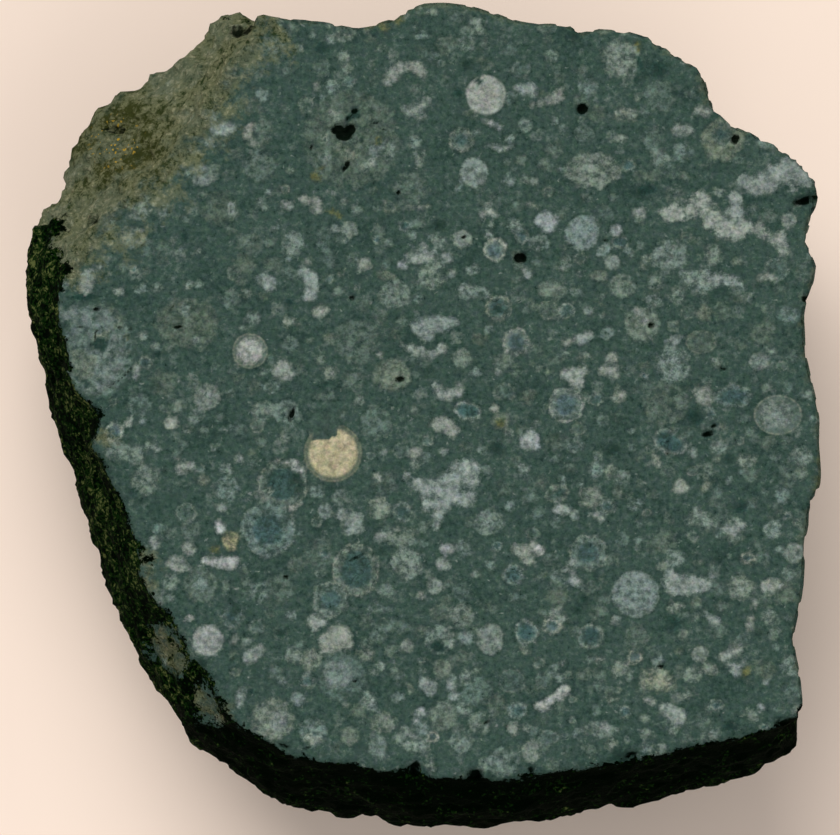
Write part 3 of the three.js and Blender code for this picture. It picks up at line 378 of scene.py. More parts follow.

# Open pits in the sawn face: right, down, half width, half height, tilt in degrees and depth. Their shade is
# also painted in, dark as the crust.
PITS = [
    (16.9, 6.5, 0.36, 0.27, 0, 0.5), (17.52, 6.46, 0.3, 0.28, 0, 0.5), (17.2, 6.75, 0.44, 0.3, 0, 0.6),
    (17.72, 5.55, 0.14, 0.12, 30, 0.2), (17.4, 5.95, 0.1, 0.14, -20, 0.2), (16.65, 6.05, 0.14, 0.07, 0, 0.2),
    (18.78, 6.14, 0.16, 0.1, 0, 0.25), (19.2, 6.5, 0.14, 0.12, 0, 0.25), (19.05, 5.75, 0.08, 0.06, 0, 0.15),
    (17.3, 8.3, 0.11, 0.3, -30, 0.3), (15.55, 7.35, 0.07, 0.12, 0, 0.2), (17.9, 5.9, 0.08, 0.1, 0, 0.15),
    (16.9, 9.25, 0.08, 0.08, 0, 0.15), (18.7, 9.2, 0.08, 0.06, 0, 0.15), (29.1, 5.45, 0.3, 0.26, 0, 0.5),
    (26.0, 12.92, 0.34, 0.27, 0, 0.5), (36.75, 6.95, 0.24, 0.26, 0, 0.4), (17.6, 14.87, 0.14, 0.15, 0, 0.3),
    (14.6, 20.7, 0.16, 0.44, -15, 0.4), (35.4, 21.7, 0.3, 0.16, 10, 0.3), (35.65, 21.3, 0.15, 0.1, 20, 0.2),
    (20.0, 18.95, 0.28, 0.14, 10, 0.2), (33.6, 21.7, 0.13, 0.1, 0, 0.2), (33.4, 22.1, 0.13, 0.1, 0, 0.2),
    (33.4, 22.7, 0.1, 0.1, 0, 0.2), (33.0, 33.35, 0.22, 0.1, 0, 0.3), (17.05, 30.2, 0.11, 0.11, 0, 0.2),
    (17.75, 34.05, 0.13, 0.13, 0, 0.2), (17.0, 34.7, 0.12, 0.07, 0, 0.2), (36.15, 17.4, 0.22, 0.08, -20, 0.2),
    (36.1, 18.4, 0.25, 0.09, -20, 0.2), (8.4, 10.6, 0.09, 0.08, 0, 0.15), (30.3, 12.05, 0.13, 0.08, 0, 0.15),
    (34.65, 34.6, 0.08, 0.12, 0, 0.15), (4.8, 15.45, 0.18, 0.12, 0, 0.2), (5.95, 16.4, 0.2, 0.13, 20, 0.2),
    (6.5, 16.45, 0.14, 0.12, 0, 0.2), (8.6, 15.4, 0.1, 0.28, -25, 0.2), (4.75, 16.55, 0.45, 0.045, 5, 0.12),
    (3.85, 16.3, 0.4, 0.04, -12, 0.12), (4.75, 16.8, 0.04, 0.3, 0, 0.1), (4.95, 19.68, 0.55, 0.07, 28, 0.2),
    (5.7, 19.2, 0.4, 0.06, 37, 0.2), (6.35, 18.62, 0.5, 0.055, 47, 0.2), (8.9, 16.35, 0.35, 0.07, 10, 0.2),
    (9.7, 16.0, 0.3, 0.07, 0, 0.2), (19.93, 9.63, 0.1, 0.12, 0, 0.2), (20.85, 10.28, 0.13, 0.08, 0, 0.2),
    (23.2, 11.85, 0.13, 0.09, 0, 0.15), (32.55, 16.25, 0.17, 0.15, 0, 0.3), (27.5, 20.1, 0.1, 0.08, 0, 0.15),
    (17.75, 27.9, 0.45, 0.06, 27, 0.12), (14.3, 28.85, 0.14, 0.1, 0, 0.2),
    (30.0, 26.95, 0.25, 0.07, 20, 0.15), (10.6, 32.45, 0.1, 0.1, 0, 0.15), (11.0, 32.05, 0.07, 0.08, 0, 0.1),
    (38.5, 31.1, 0.13, 0.08, 0, 0.2), (37.85, 14.25, 0.16, 0.07, 10, 0.15),
    (39.15, 24.87, 0.09, 0.08, 0, 0.15), (15.35, 37.4, 0.25, 0.07, 10, 0.2),
    (25.35, 36.35, 0.08, 0.1, 0, 0.15), (24.35, 36.1, 0.2, 0.06, 20, 0.1),
]

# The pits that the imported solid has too: right and down, and how far each reaches, sideways and down.
SOLID_PIT_REACH = 0.7
SOLID_PITS = [
    (17.2, 6.6), (29.1, 5.45), (25.95, 12.95), (36.75, 6.95), (14.6, 20.65), (35.45, 21.7), (20.05, 18.95),
    (33.55, 21.65),
]

# Notches in the sawn edge, given in the way that the pits are.
NOTCHES = [
    (40.4, 10.0, 0.75, 0.24, 12, 0.6), (40.3, 14.95, 0.25, 0.2, 0, 0.4), (39.5, 36.15, 0.75, 0.28, 0, 0.8),
    (20.7, 38.5, 0.28, 0.42, -15, 0.9), (23.8, 38.75, 0.42, 0.3, 0, 0.9), (26.55, 38.5, 0.15, 0.2, 0, 0.5),
    (31.6, 37.75, 0.35, 0.15, 10, 0.5), (14.2, 37.3, 0.4, 0.12, -25, 0.4),
]

# Spots of painted shade by the undercuts at the sawn edge, drawn as black crust reaching over it: right, down
# and radius.
PAINTED_SHADE_SPOTS = [
    (4.7, 20.5, 0.42), (4.3, 20.9, 0.35), (3.15, 17.8, 0.28), (3.3, 19.6, 0.3), (3.1, 15.1, 0.22),
    (4.9, 23.3, 0.35), (5.3, 24.1, 0.3), (5.5, 25.0, 0.35), (5.75, 25.9, 0.3), (6.3, 26.9, 0.25),
    (6.8, 27.45, 0.32), (6.6, 27.1, 0.2), (7.45, 28.1, 0.14), (7.3, 29.7, 0.35), (7.9, 31.2, 0.4),
    (7.45, 31.1, 0.4), (9.5, 33.7, 0.42), (9.9, 33.65, 0.32), (10.25, 33.75, 0.28), (10.9, 35.1, 0.2),
]

# Spots where the crust has come off below the sawn edge, seen from above: right, down and radius. They
# end at this height.
BARE_HEIGHT = 10
BARE_SPOTS = [
    (7.4, 28.6, 0.3), (7.2, 28.0, 0.2), (7.5, 29.3, 0.25), (7.9, 31.8, 0.5), (8.35, 32.5, 0.6),
    (8.8, 33.2, 0.5), (9.9, 34.9, 0.45), (10.4, 35.4, 0.45), (11.0, 35.9, 0.3), (5.2, 21.9, 0.25),
]

# Hollows in the steep facet: right, down and height, the half width and half length seen from above, and
# how deep they go. Each goes this far up and down from its middle, and its half length is about this. Its
# shade is painted in as a pit's is; it counts as inside a pit by this much at most, which keeps that painted
# shade a little less dark.
HOLLOWS = [
    (12.0, 1.45, 12.1, 1.0, 0.33, 0.3), (5.5, 6.3, 9.9, 0.7, 0.22, 0.4), (4.6, 10.9, 14.0, 0.4, 0.3, 0.3),
]
HOLLOW_HALF_HEIGHT = 1.5
HOLLOW_HALF_LENGTH = 0.3
HOLLOW_SHADE = 0.06

# Small grains strewn between the others: their smallest and largest radius, how far they are above the
# smallest on average, and their kinds with the chances of each.
STREWN_RADII = (0.18, 0.8)
STREWN_SPREAD = 0.16
STREWN = [
    ("grey", 7), ("faint", 12), ("clot", 5), ("crumbly", 3), ("dark", 2), ("blue", 1), ("sandy", 1),
    ("hoop", 2), ("white", 1),
]


def linear(rgb):
    """An sRGB colour, 0 to 255, as linear values from 0 to 1."""
    shares = [c / 255 for c in rgb]
    return tuple(s / 12.92 if s <= 0.04045 else ((s + 0.055) / 1.055) ** 2.4 for s in shares)


def colour_property(name, description, rgb):
    """A colour setting, given as sRGB from 0 to 255."""
    return FloatVectorProperty(
        name=name, description=description, subtype="COLOR", size=3, min=0, max=1, default=linear(rgb)
    )


class StoneSizes(bpy.types.PropertyGroup):
    """Sizes of the stone's skin."""

    skin_step: FloatProperty(
        name="Skin Step",
        description="Spacing of the skin's points, halved on the sawn face",
        default=0.3 * MM, min=0.2 * MM, unit="LENGTH",
    )
    crust_relief: FloatProperty(
        name="Crust Relief", description="Height of the crust's lumps and wrinkles",
        default=0.25 * MM, unit="LENGTH",
    )
    facet_relief: FloatProperty(
        name="Facet Relief", description="Height of the weathered facet's lumps",
        default=0.35 * MM, unit="LENGTH",
    )
    break_relief: FloatProperty(
        name="Break Relief", description="Depth of the chips in the broken sides",
        default=0.65 * MM, unit="LENGTH",
    )
    edge_chips: FloatProperty(
        name="Edge Chips", description="Depth of the chips along the sawn edge",
        default=0.3 * MM, unit="LENGTH",
    )
    small_grains: IntProperty(
        name="Small Grains", description="How many small grains are tried between those laid by hand",
        default=2300,
    )
    seed: IntProperty(name="Seed", description="Start of the random numbers for the small grains", default=11)


class StoneColours(bpy.types.PropertyGroup):
    """Colours of the stone."""

    stone: colour_property("Stone", "The fine stone between the grains", (63, 85, 77))
    stone_dark: colour_property("Dark Stone", "The darker of the fine stone", (51, 73, 66))
    stone_light: colour_property("Light Stone", "The lighter of the fine stone", (92, 110, 102))
    stone_bright: colour_property("Bright Crumbs", "The brightest crumbs in the fine stone", (114, 128, 120))
    # Gaps: dark cracks and the dark line round grains, and painted shade in pores and small holes.
    gap: colour_property("Gaps", "Pits and gaps", (12, 24, 19))
    # The crust runs from black in its hollows through thin crust to olive knob tops, following its relief:
    # partly real black crust and dust, partly painted shade and painted light.
    crust: colour_property("Crust", "The melted crust", (0, 8, 1))
    crust_thin: colour_property("Thin Crust", "Where the crust is thin", (16, 42, 10))
    # Olive on the crust's knobs: dust, and painted light where it is put on the left side that the light
    # falls on.
    crust_dusty_lit: colour_property("Dusty Crust", "Dusty grains on the crust's lumps", (96, 106, 61))
    # The facet's dark creases and pale knobs follow its relief: partly painted shade and painted light, over
    # its real brown stain and dust.
    brown_dark_shade: colour_property("Dark Brown", "Creases of the weathered facet", (38, 52, 27))
    brown: colour_property("Brown", "Stain on the weathered facet", (101, 107, 80))
    brown_pale_lit: colour_property("Light Brown", "Dust on the weathered facet", (147, 148, 119))
    rust: colour_property("Rust", "Golden crystals and their rust", (168, 140, 52))


class StageLook(bpy.types.PropertyGroup):
    """The floor, the light and the camera."""

    floor: colour_property("Floor", "The floor's colour", (255, 235, 220))
    main_light: FloatProperty(
        name="Main Light", description="Strength of the main light, from behind", default=2.25
    )
    front_light: FloatProperty(
        name="Front Light", description="Strength of the light from in front", default=0.5
    )
    fill: FloatProperty(name="Fill", description="Strength of the light from all round", default=0.39)
    lens: FloatProperty(name="Lens", description="Focal length, long enough for an even view", default=1000.0)


# The stone's skin.

# Spacing of the points that mark the sawn edge, in millimetres.
RIM_SPACING = 0.03


def from_square(right, down):
    """A point of the square in the stone's own frame, in millimetres."""
    return right - SQUARE_CENTRE[0], SQUARE_CENTRE[1] - down


def seen_from_above(points, right, down):
    """How far the points lie from a place of the square, seen from above."""
    return np.hypot(*(points[:, :2] - from_square(right, down)).T)


def turned(offset, tilt):
    """Offsets measured across and along an ellipse that is tilted by some degrees."""
    turn = math.radians(tilt)
    across = offset[:, 0] * math.cos(turn) + offset[:, 1] * math.sin(turn)
    along = offset[:, 1] * math.cos(turn) - offset[:, 0] * math.sin(turn)
    return across, along


def merged_copy(node):
    """The node's skin in millimetres, its loose triangles joined and the pits of its sawn face filled."""
    bm = bmesh.new()
    bm.from_mesh(node.data)
    bmesh.ops.remove_doubles(bm, verts=bm.verts, dist=1e-6)
    bmesh.ops.scale(bm, vec=(1 / MM,) * 3, verts=bm.verts)
    pits = [from_square(right, down) for right, down in SOLID_PITS]
    for vert in bm.verts:
        high = vert.co.z > SAWN_HEIGHT - SOLID_PIT_REACH
        if high and any(math.dist(vert.co.xy, pit) < SOLID_PIT_REACH for pit in pits):
            vert.co.z = SAWN_HEIGHT
    return bm


def even_skin(bm, step):
    """The same skin with evenly spaced points that still lie on it."""
    mesh = bpy.data.meshes.new("even skin")
    bm.to_mesh(mesh)
    piece = bpy.data.objects.new("even skin", mesh)
    bpy.context.scene.collection.objects.link(piece)
    remesh = piece.modifiers.new("Even Skin", "REMESH")
    remesh.mode = "VOXEL"
    remesh.voxel_size = step
    evaluated = piece.evaluated_get(bpy.context.evaluated_depsgraph_get())
    even = bmesh.new()
    even.from_mesh(evaluated.to_mesh())
    bpy.data.objects.remove(piece)
    bpy.data.meshes.remove(mesh)
    surface = BVHTree.FromBMesh(bm)
    rim = rim_tree(bm)
    # Points of the sawn face go exactly on it, and points near its edge on the edge.
    for vert in even.verts:
        place, normal, *_ = surface.find_nearest(vert.co)
        vert.co = place
        if normal.z > 0.9 and place.z > SAWN_HEIGHT - 0.1:
            vert.co.z = SAWN_HEIGHT
        nearest, _, distance = rim.find(place)
        if distance < 0.5 * step:
            vert.co = nearest
    return even


def point_tree(points):
    """The points, ready for the nearest to be found."""
    tree = kdtree.KDTree(len(points))
    for i, point in enumerate(points):
        tree.insert(point, i)
    tree.balance()
    return tree


def rim_tree(bm):
    """Closely spaced points along the sawn face's edge."""
    bm.normal_update()
    points = []
    for edge in bm.edges:
        flat = [face.normal.z > 0.99 and face.verts[0].co.z > SAWN_HEIGHT - 1e-3 for face in edge.link_faces]
        if any(flat) and not all(flat):
            first, second = (vert.co for vert in edge.verts)
            count = max(int((second - first).length / RIM_SPACING), 1)
            points += [first.lerp(second, i / count) for i in range(count + 1)]
    return point_tree(points)


def refine_sawn_face(bm):
    """Divides the sawn face once more, for its fine grains."""
    top = [face for face in bm.faces if all(v.co.z > SAWN_HEIGHT - 1e-4 for v in face.verts)]
    edges = list({edge for face in top for edge in face.edges})
    bmesh.ops.subdivide_edges(bm, edges=edges, cuts=1, use_grid_fill=True)


# Zones of the skin. A zone is given by how far inside it a point lies, in millimetres, and is negative
# outside it.

# What stands for far outside a zone or a pit.
FAR_OUTSIDE = -3.0

# A zone of the sides reaches this far in over the sawn face.
RIM_BAND = 0.06

# The borders of the zones wander by up to this much, in waves of this size. They start to wander just
# under the sawn edge, and do so in full this far below.
BORDER_WANDER = 5
BORDER_WAVES = 3.5
BORDER_DEPTH = 5


def arc_inside(points, span):
    """How far inside a span of angles the points lie, measured along the skin."""
    degrees = np.degrees(np.arctan2(points[:, 1], points[:, 0]))
    middle = (span[0] + span[1]) / 2
    off_middle = np.abs((degrees - middle + 180) % 360 - 180)
    radius = np.hypot(points[:, 0], points[:, 1])
    return np.radians((span[1] - span[0]) / 2 - off_middle) * radius


def edge_distance(points, on_top):
    """How far the points of the sawn face lie from its edge."""
    rim = points[~on_top & (points[:, 2] > SAWN_HEIGHT - 0.6)]
    tree = point_tree([(x, y, 0) for x, y, _ in rim])
    away = np.zeros(len(points))
    for i in np.flatnonzero(on_top):
        away[i] = tree.find((points[i, 0], points[i, 1], 0))[2]
    return away


def spots_inside(points, spots):
    """How far inside the nearest of some round spots the points lie, seen from above."""
    inside = [radius - seen_from_above(points, right, down) for right, down, radius in spots]
    return np.maximum.reduce(inside)


def dust_and_painted_light(points, on_top):
    """How much olive dust the crust shows at each point, from 0 to 1, with painted light on the left side."""
    dust_and_light = np.clip(arc_inside(points, LIT_DUSTY_CRUST) / 3 + 0.5, 0, 1) * np.where(on_top, 0.3, 1)
    low = np.clip((DUST_HEIGHT - points[:, 2]) / 5, 0, 0.8)
    return np.maximum(dust_and_light, low)


def skin_zones(points, normals):
    """The zones at each point, and how far it lies from the sawn edge, how much dust and painted light its
    crust shows and how golden it is.
    """
    on_top = points[:, 2] > SAWN_HEIGHT - 1e-3
    away = edge_distance(points, on_top)
    side = np.where(on_top, RIM_BAND - away, RIM_BAND + SAWN_HEIGHT - points[:, 2])
    wander = np.array([lumps(Vector(point), BORDER_WAVES, 20) for point in points])
    wander *= BORDER_WANDER * np.clip((SAWN_HEIGHT - 0.5 - points[:, 2]) / BORDER_DEPTH, 0, 1)
    broken = arc_inside(points, BREAK) + wander
    facet = arc_inside(points, FACET) - wander

    # Where the sides turn under, the crust is whole all round.
    turned_under = (-normals[:, 2] - 0.45) * 5 + 0.5 * wander
    under = np.where(points[:, 2] > SAWN_HEIGHT / 2, 3 * FAR_OUTSIDE, turned_under)
    crust = np.minimum(np.maximum(-np.maximum(broken, facet), under), side)
    bare = np.maximum(spots_inside(points, BARE_SPOTS), FAR_OUTSIDE)
    bare = np.where(points[:, 2] > BARE_HEIGHT, bare, FAR_OUTSIDE)
    crust = np.minimum(crust, -bare)
    # On the sawn face the crust zone takes in the spots of painted shade, which are coloured as black crust.
    crust = np.where(on_top, 2 * np.maximum(crust, spots_inside(points, PAINTED_SHADE_SPOTS)), crust)

    # The weathering spreads past the facet's border, and thins out over the sawn face.
    facet = np.minimum(facet + 0.7, np.where(on_top, 0.3 - 0.35 * away, side))
    facet = np.maximum(facet, bare)
    golden = 1 - seen_from_above(points, *GOLDEN_SPOT[:2]) / GOLDEN_SPOT[2]
    return dict(
        on_top=on_top, away=away, crust=crust, facet=facet, broken=np.minimum(broken, side),
        dust_and_light=dust_and_painted_light(points, on_top), golden=golden,
    )


# Grains.

# How far past its edge a grain is still felt, for those listed and the strewn ones, and how sharply
# the lobes of a ragged grain melt together.
GRAIN_REACH = 0.6
STREWN_REACH = 0.5
MELTING = 8.0


class GrainField:
    """What each point of the skin knows of its nearest grain: the distance to the grain's edge, negative
    inside, its colours, its finish and whether it stands out of a broken side or has dropped out."""

    def __init__(self, points):
        self.points = points
        self.edge = np.full(len(points), -FAR_OUTSIDE)
        self.stand = np.ones(len(points))
        self.colours = {part: np.zeros((len(points), 4)) for part in ("core", "mantle", "rim")}
        self.finish = np.zeros((len(points), 4))

    def near(self, place, reach):
        """The points within reach of a place, and their offsets from it."""
        offset = self.points - place
        inside = (np.abs(offset) < reach).all(axis=1)
        return np.flatnonzero(inside), offset[inside]

    def lay(self, near, edge, kind, radius, chance):
        """Lays a grain over the points near it, given their distances outside its edge."""
        look = KINDS[kind]
        tint = random_tint(chance)
        stand = chance.choice((-1, 1, 1))
        nearer = (edge < 0) | ((self.edge[near] > 0) & (edge < self.edge[near]))
        taken = near[nearer]
        self.edge[taken] = edge[nearer]
        self.stand[taken] = stand
        for part, values in self.colours.items():
            values[taken, :3] = np.array(linear(getattr(look, part))) * tint
        self.colours["core"][taken, 3] = look.veins
        self.finish[taken] = (look.band, (1 - look.middle) * radius, look.speckle, look.ragged)


def random_tint(chance):
    """A slight change of colour: lighter or darker, and warmer or cooler."""
    light = 1 + chance.uniform(-0.1, 0.1)
    warm = chance.uniform(-0.04, 0.04)
    return np.array((light * (1 + warm), light, light * (1 - warm)))


def lay_round(field, kind, place, chance):
    """Lays a ball, or an ellipsoid given by its half width, half height and tilt."""
    right, down, half_width, half_height, tilt = place if len(place) == 5 else (*place, place[2], 0)
    x, y = from_square(right, down)
    halves = np.array((half_width, half_height, (half_width + half_height) / 2))
    near, offset = field.near((x, y, SAWN_HEIGHT), max(halves) + GRAIN_REACH)
    body = np.stack((*turned(offset, tilt), offset[:, 2]), axis=1)
    length = np.linalg.norm(body, axis=1)
    share = np.linalg.norm(body / halves, axis=1)
    edge = np.where(share > 0.05, length * (1 - 1 / np.maximum(share, 0.05)), -min(halves))
    field.lay(near, edge, kind, min(half_width, half_height), chance)


def lay_ragged(field, kind, lobes, chance):
    """Lays a grain of lobes that melt together."""
    places = np.array([(*from_square(right, down), SAWN_HEIGHT) for right, down, _ in lobes])
    radii = np.array([radius for *_, radius in lobes])
    centre = places.mean(axis=0)
    reach = (np.linalg.norm(places - centre, axis=1) + radii).max() + GRAIN_REACH
    near, _ = field.near(centre, reach)
    total = np.zeros(len(near))
    for place, radius in zip(places, radii):
        total += np.exp(MELTING * (radius - np.linalg.norm(field.points[near] - place, axis=1)))
    field.lay(near, -np.log(np.maximum(total, 1e-30)) / MELTING, kind, radii.max(), chance)


def strew_small(field, zones, count, chance):
    """Small grains strewn over all that isn't crusted, where they don't run into others."""
    smallest, largest = STREWN_RADII
    bare = np.flatnonzero(zones["crust"] < 0.1)
    for _ in range(count):
        index = int(bare[chance.randrange(len(bare))])
        radius = min(smallest + chance.expovariate(1 / STREWN_SPREAD), largest)
        kind = chance.choices(*zip(*STREWN))[0]
        squash = np.array((1, chance.uniform(0.75, 1), 1))
        if field.edge[index] < radius * 0.85:
            continue
        near, offset = field.near(field.points[index], radius + STREWN_REACH)
        field.lay(near, np.linalg.norm(offset / squash, axis=1) - radius, kind, radius, chance)


def grain_field(points, zones, sizes):
    """All the grains: the round ones, large before small, the ragged ones, the bites and the strewn ones."""
    chance = random.Random(sizes.seed)
    field = GrainField(points)
    for kind, places in ROUND_GRAINS.items():
        for place in sorted(places, key=lambda place: -place[2]):
            lay_round(field, kind, place, chance)
    for kind, runs in RAGGED_GRAINS.items():
        for lobes in runs:
            lay_ragged(field, kind, lobes, chance)
    for bite in BITES:
        lay_round(field, "stone", bite, chance)
    strew_small(field, zones, sizes.small_grains, chance)
    return field


# Relief, in millimetres.

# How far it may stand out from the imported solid.
OUTWARD_LIMIT = 0.3

# It grows from the sawn edge down over this depth and from the resting spot up over this height, and the
# chips grow over this distance inside a broken side.
EDGE_RAMP = 1.6
FLOOR_RAMP = 0.8
CHIP_RAMP = 2.5

# A grain stands out of a broken side, or has left a dent, by this share of how far inside the grain a
# point lies, counted up to a limit.
KNOB_SHARE = 0.8
KNOB_LIMIT = 0.3

# The sawn edge is chipped over this width.
CHIPPED_WIDTH = 0.45

# Points deeper than this below the sawn face don't count as in a pit, so they get none of its painted shade.
PIT_REACH = 0.9


def ellipse_share(points, right, down, half_width, half_height, tilt=0):
    """How far out the points lie from an ellipse's centre, as a share of its size."""
    across, along = turned(points[:, :2] - from_square(right, down), tilt)
    return np.hypot(across / half_width, along / half_height)


def pit_bowls(points):
    """How deep the pits and notches are below the sawn face at each point, and how far inside one it lies,
    which sets the shade painted in them.
    """
    depth = np.zeros(len(points))
    inside = np.full(len(points), FAR_OUTSIDE)
    for *ellipse, deep in PITS + NOTCHES:
        share = ellipse_share(points, *ellipse)
        depth = np.maximum(depth, deep * np.sqrt(np.clip(1 - share**2, 0, 1)))
        inside = np.maximum(inside, (1 - share) * min(ellipse[2:4]))
    return depth, np.where(points[:, 2] > SAWN_HEIGHT - PIT_REACH, inside, FAR_OUTSIDE)


def hollow_depth(points, on_top):
    """How deep the facet's hollows are at each point, and how far inside one it lies, which sets the shade
    painted in them.
    """
    depth = np.zeros(len(points))
    inside = np.full(len(points), FAR_OUTSIDE)
    for right, down, height, *halves, deep in HOLLOWS:
        rise = (points[:, 2] - height) / HOLLOW_HALF_HEIGHT
        share = np.hypot(ellipse_share(points, right, down, *halves), rise)
        depth = np.maximum(depth, deep * np.clip(1 - share**2, 0, 1))
        inside = np.maximum(inside, (1 - share) * HOLLOW_HALF_LENGTH)
    outer = ~on_top & (points[:, 2] > SAWN_HEIGHT / 2)
    return np.where(outer, depth, 0), np.where(outer, np.minimum(inside, HOLLOW_SHADE), FAR_OUTSIDE)


def lumps(place, size, seed):
    """Smooth lumps of about the given size."""
    return noise.noise(place / size + Vector((seed, seed * 2.3, seed * 3.7)))


def chips(place, size, seed):
    """Chips at odd slopes, with steps between them."""
    spot = place / size + Vector((seed, seed * 1.7, seed * 2.9))
    centre = noise.voronoi(spot)[1][0]
    slope = Vector((math.sin(7.3 * centre.x), math.sin(7.3 * centre.y), math.sin(7.3 * centre.z)))
    return 0.5 * slope.dot(spot - centre) + 0.22 * math.sin(11 * (centre.x + centre.y + centre.z))


def crust_height(place):
    """Wrinkles that lie along the stone, with lumps on them."""
    wrinkle = Vector((place.x, place.y, place.z * 1.6))
    return lumps(wrinkle, 1.5, 1) + 0.8 * lumps(wrinkle, 0.7, 2) + 0.7 * abs(lumps(place, 0.45, 3)) - 0.2


def break_height(place):
    """Chips of three sizes, and fine lumps on them."""
    broad = 1.2 * chips(place, 5.0, 14)
    return broad + chips(place, 2.2, 4) + 0.5 * chips(place, 1.0, 5) + 0.35 * lumps(place, 0.5, 6) - 0.6


def facet_height(place):
    """Worn lumps of two sizes."""
    return lumps(place, 1.1, 12) + 0.6 * lumps(place, 0.5, 13)


def share_inside(inside, width=0.4):
    """From 0 outside a zone to 1 inside it, over the given width of its edge."""
    return np.clip(inside / width + 0.5, 0, 1)


def sawn_edge_drop(place, away, crust, sizes):
    """How far the sawn face lies below the cut near its edge and where the crust zone reaches over it, the
    spots of painted shade included.
    """
    drop = 0.2 * min(max(crust, 0), 0.5)
    if away < CHIPPED_WIDTH:
        chip = max(lumps(place, 0.8, 8) + 0.5 * lumps(place, 0.35, 9), 0)
        drop += chip * (1 - away / CHIPPED_WIDTH) * sizes.edge_chips / MM * 2
    return drop


def roughened(points, normals, zones, field, sizes):
    """The points moved by the relief of the crust, the facet, the broken sides, the sawn edge and the
    pits, and how far inside a pit each lies, which sets the shade painted in the pits."""
    moved = points.copy()
    depth, inside = pit_bowls(points)
    moved[:, 2] = np.minimum(points[:, 2], SAWN_HEIGHT - depth)
    hollow, in_hollow = hollow_depth(points, zones["on_top"])
    crusted = share_inside(zones["crust"])
    weathered = share_inside(zones["facet"], 1.0)
    chipped = (1 - crusted) * np.clip(zones["broken"] / CHIP_RAMP, 0.25, 1)
    for i, point in enumerate(points):
        place = Vector(point)
        if zones["on_top"][i]:
            moved[i, 2] -= sawn_edge_drop(place, zones["away"][i], zones["crust"][i], sizes)
            continue
        out = -hollow[i]
        if crusted[i] > 0:
            out += crusted[i] * crust_height(place) * sizes.crust_relief / MM
        if crusted[i] < 1:
            knob = field.stand[i] * min(max(-field.edge[i], 0), KNOB_LIMIT) * KNOB_SHARE
            out += chipped[i] * (break_height(place) * sizes.break_relief / MM + knob)
        if weathered[i] > 0:
            out += weathered[i] * facet_height(place) * sizes.facet_relief / MM
        below_edge = min(0.1 + (SAWN_HEIGHT - point[2]) / EDGE_RAMP, 1)
        above_floor = min(point[2] / FLOOR_RAMP, 1)
        moved[i] += normals[i] * min(out, OUTWARD_LIMIT) * below_edge * above_floor
    moved[:, 2] = np.clip(moved[:, 2], 0, SAWN_HEIGHT)
    return moved, np.maximum(inside, in_hollow)


def store(mesh, name, values):
    """Stores a number or a colour at each point of a mesh."""
    kind, part = ("FLOAT", "value") if values.ndim == 1 else ("FLOAT_COLOR", "color")
    data = mesh.attributes.new(name, kind, "POINT").data
    data.foreach_set(part, values.astype(np.float32).ravel())


def stone_mesh(sizes):
    """The stone in metres, with its zones and grains stored at its points."""
    solid = merged_copy(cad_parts[STONE_NODE])
    bm = even_skin(solid, sizes.skin_step / MM)
    solid.free()
    refine_sawn_face(bm)
    bm.normal_update()
    points = np.array([vert.co for vert in bm.verts])
    normals = np.array([vert.normal for vert in bm.verts])
    zones = skin_zones(points, normals)
    field = grain_field(points, zones, sizes)
    moved, pit = roughened(points, normals, zones, field, sizes)
    for vert, place in zip(bm.verts, moved):
        vert.co = Vector(place) * MM
    for face in bm.faces:
        face.smooth = True
    mesh = bpy.data.meshes.new("sawn meteorite")
    bm.to_mesh(mesh)
    bm.free()
    store(mesh, "grain_edge", field.edge)
    store(mesh, "grain_finish", field.finish)
    for part, values in field.colours.items():
        store(mesh, f"grain_{part}", values)
    store(mesh, "crust_dust_and_light", zones["dust_and_light"])
    store(mesh, "golden", np.maximum(zones["golden"], 0))
    store(mesh, "skin_zones", np.stack((zones["crust"], zones["facet"], zones["broken"], pit), axis=1))
    return mesh


# Shader nodes.


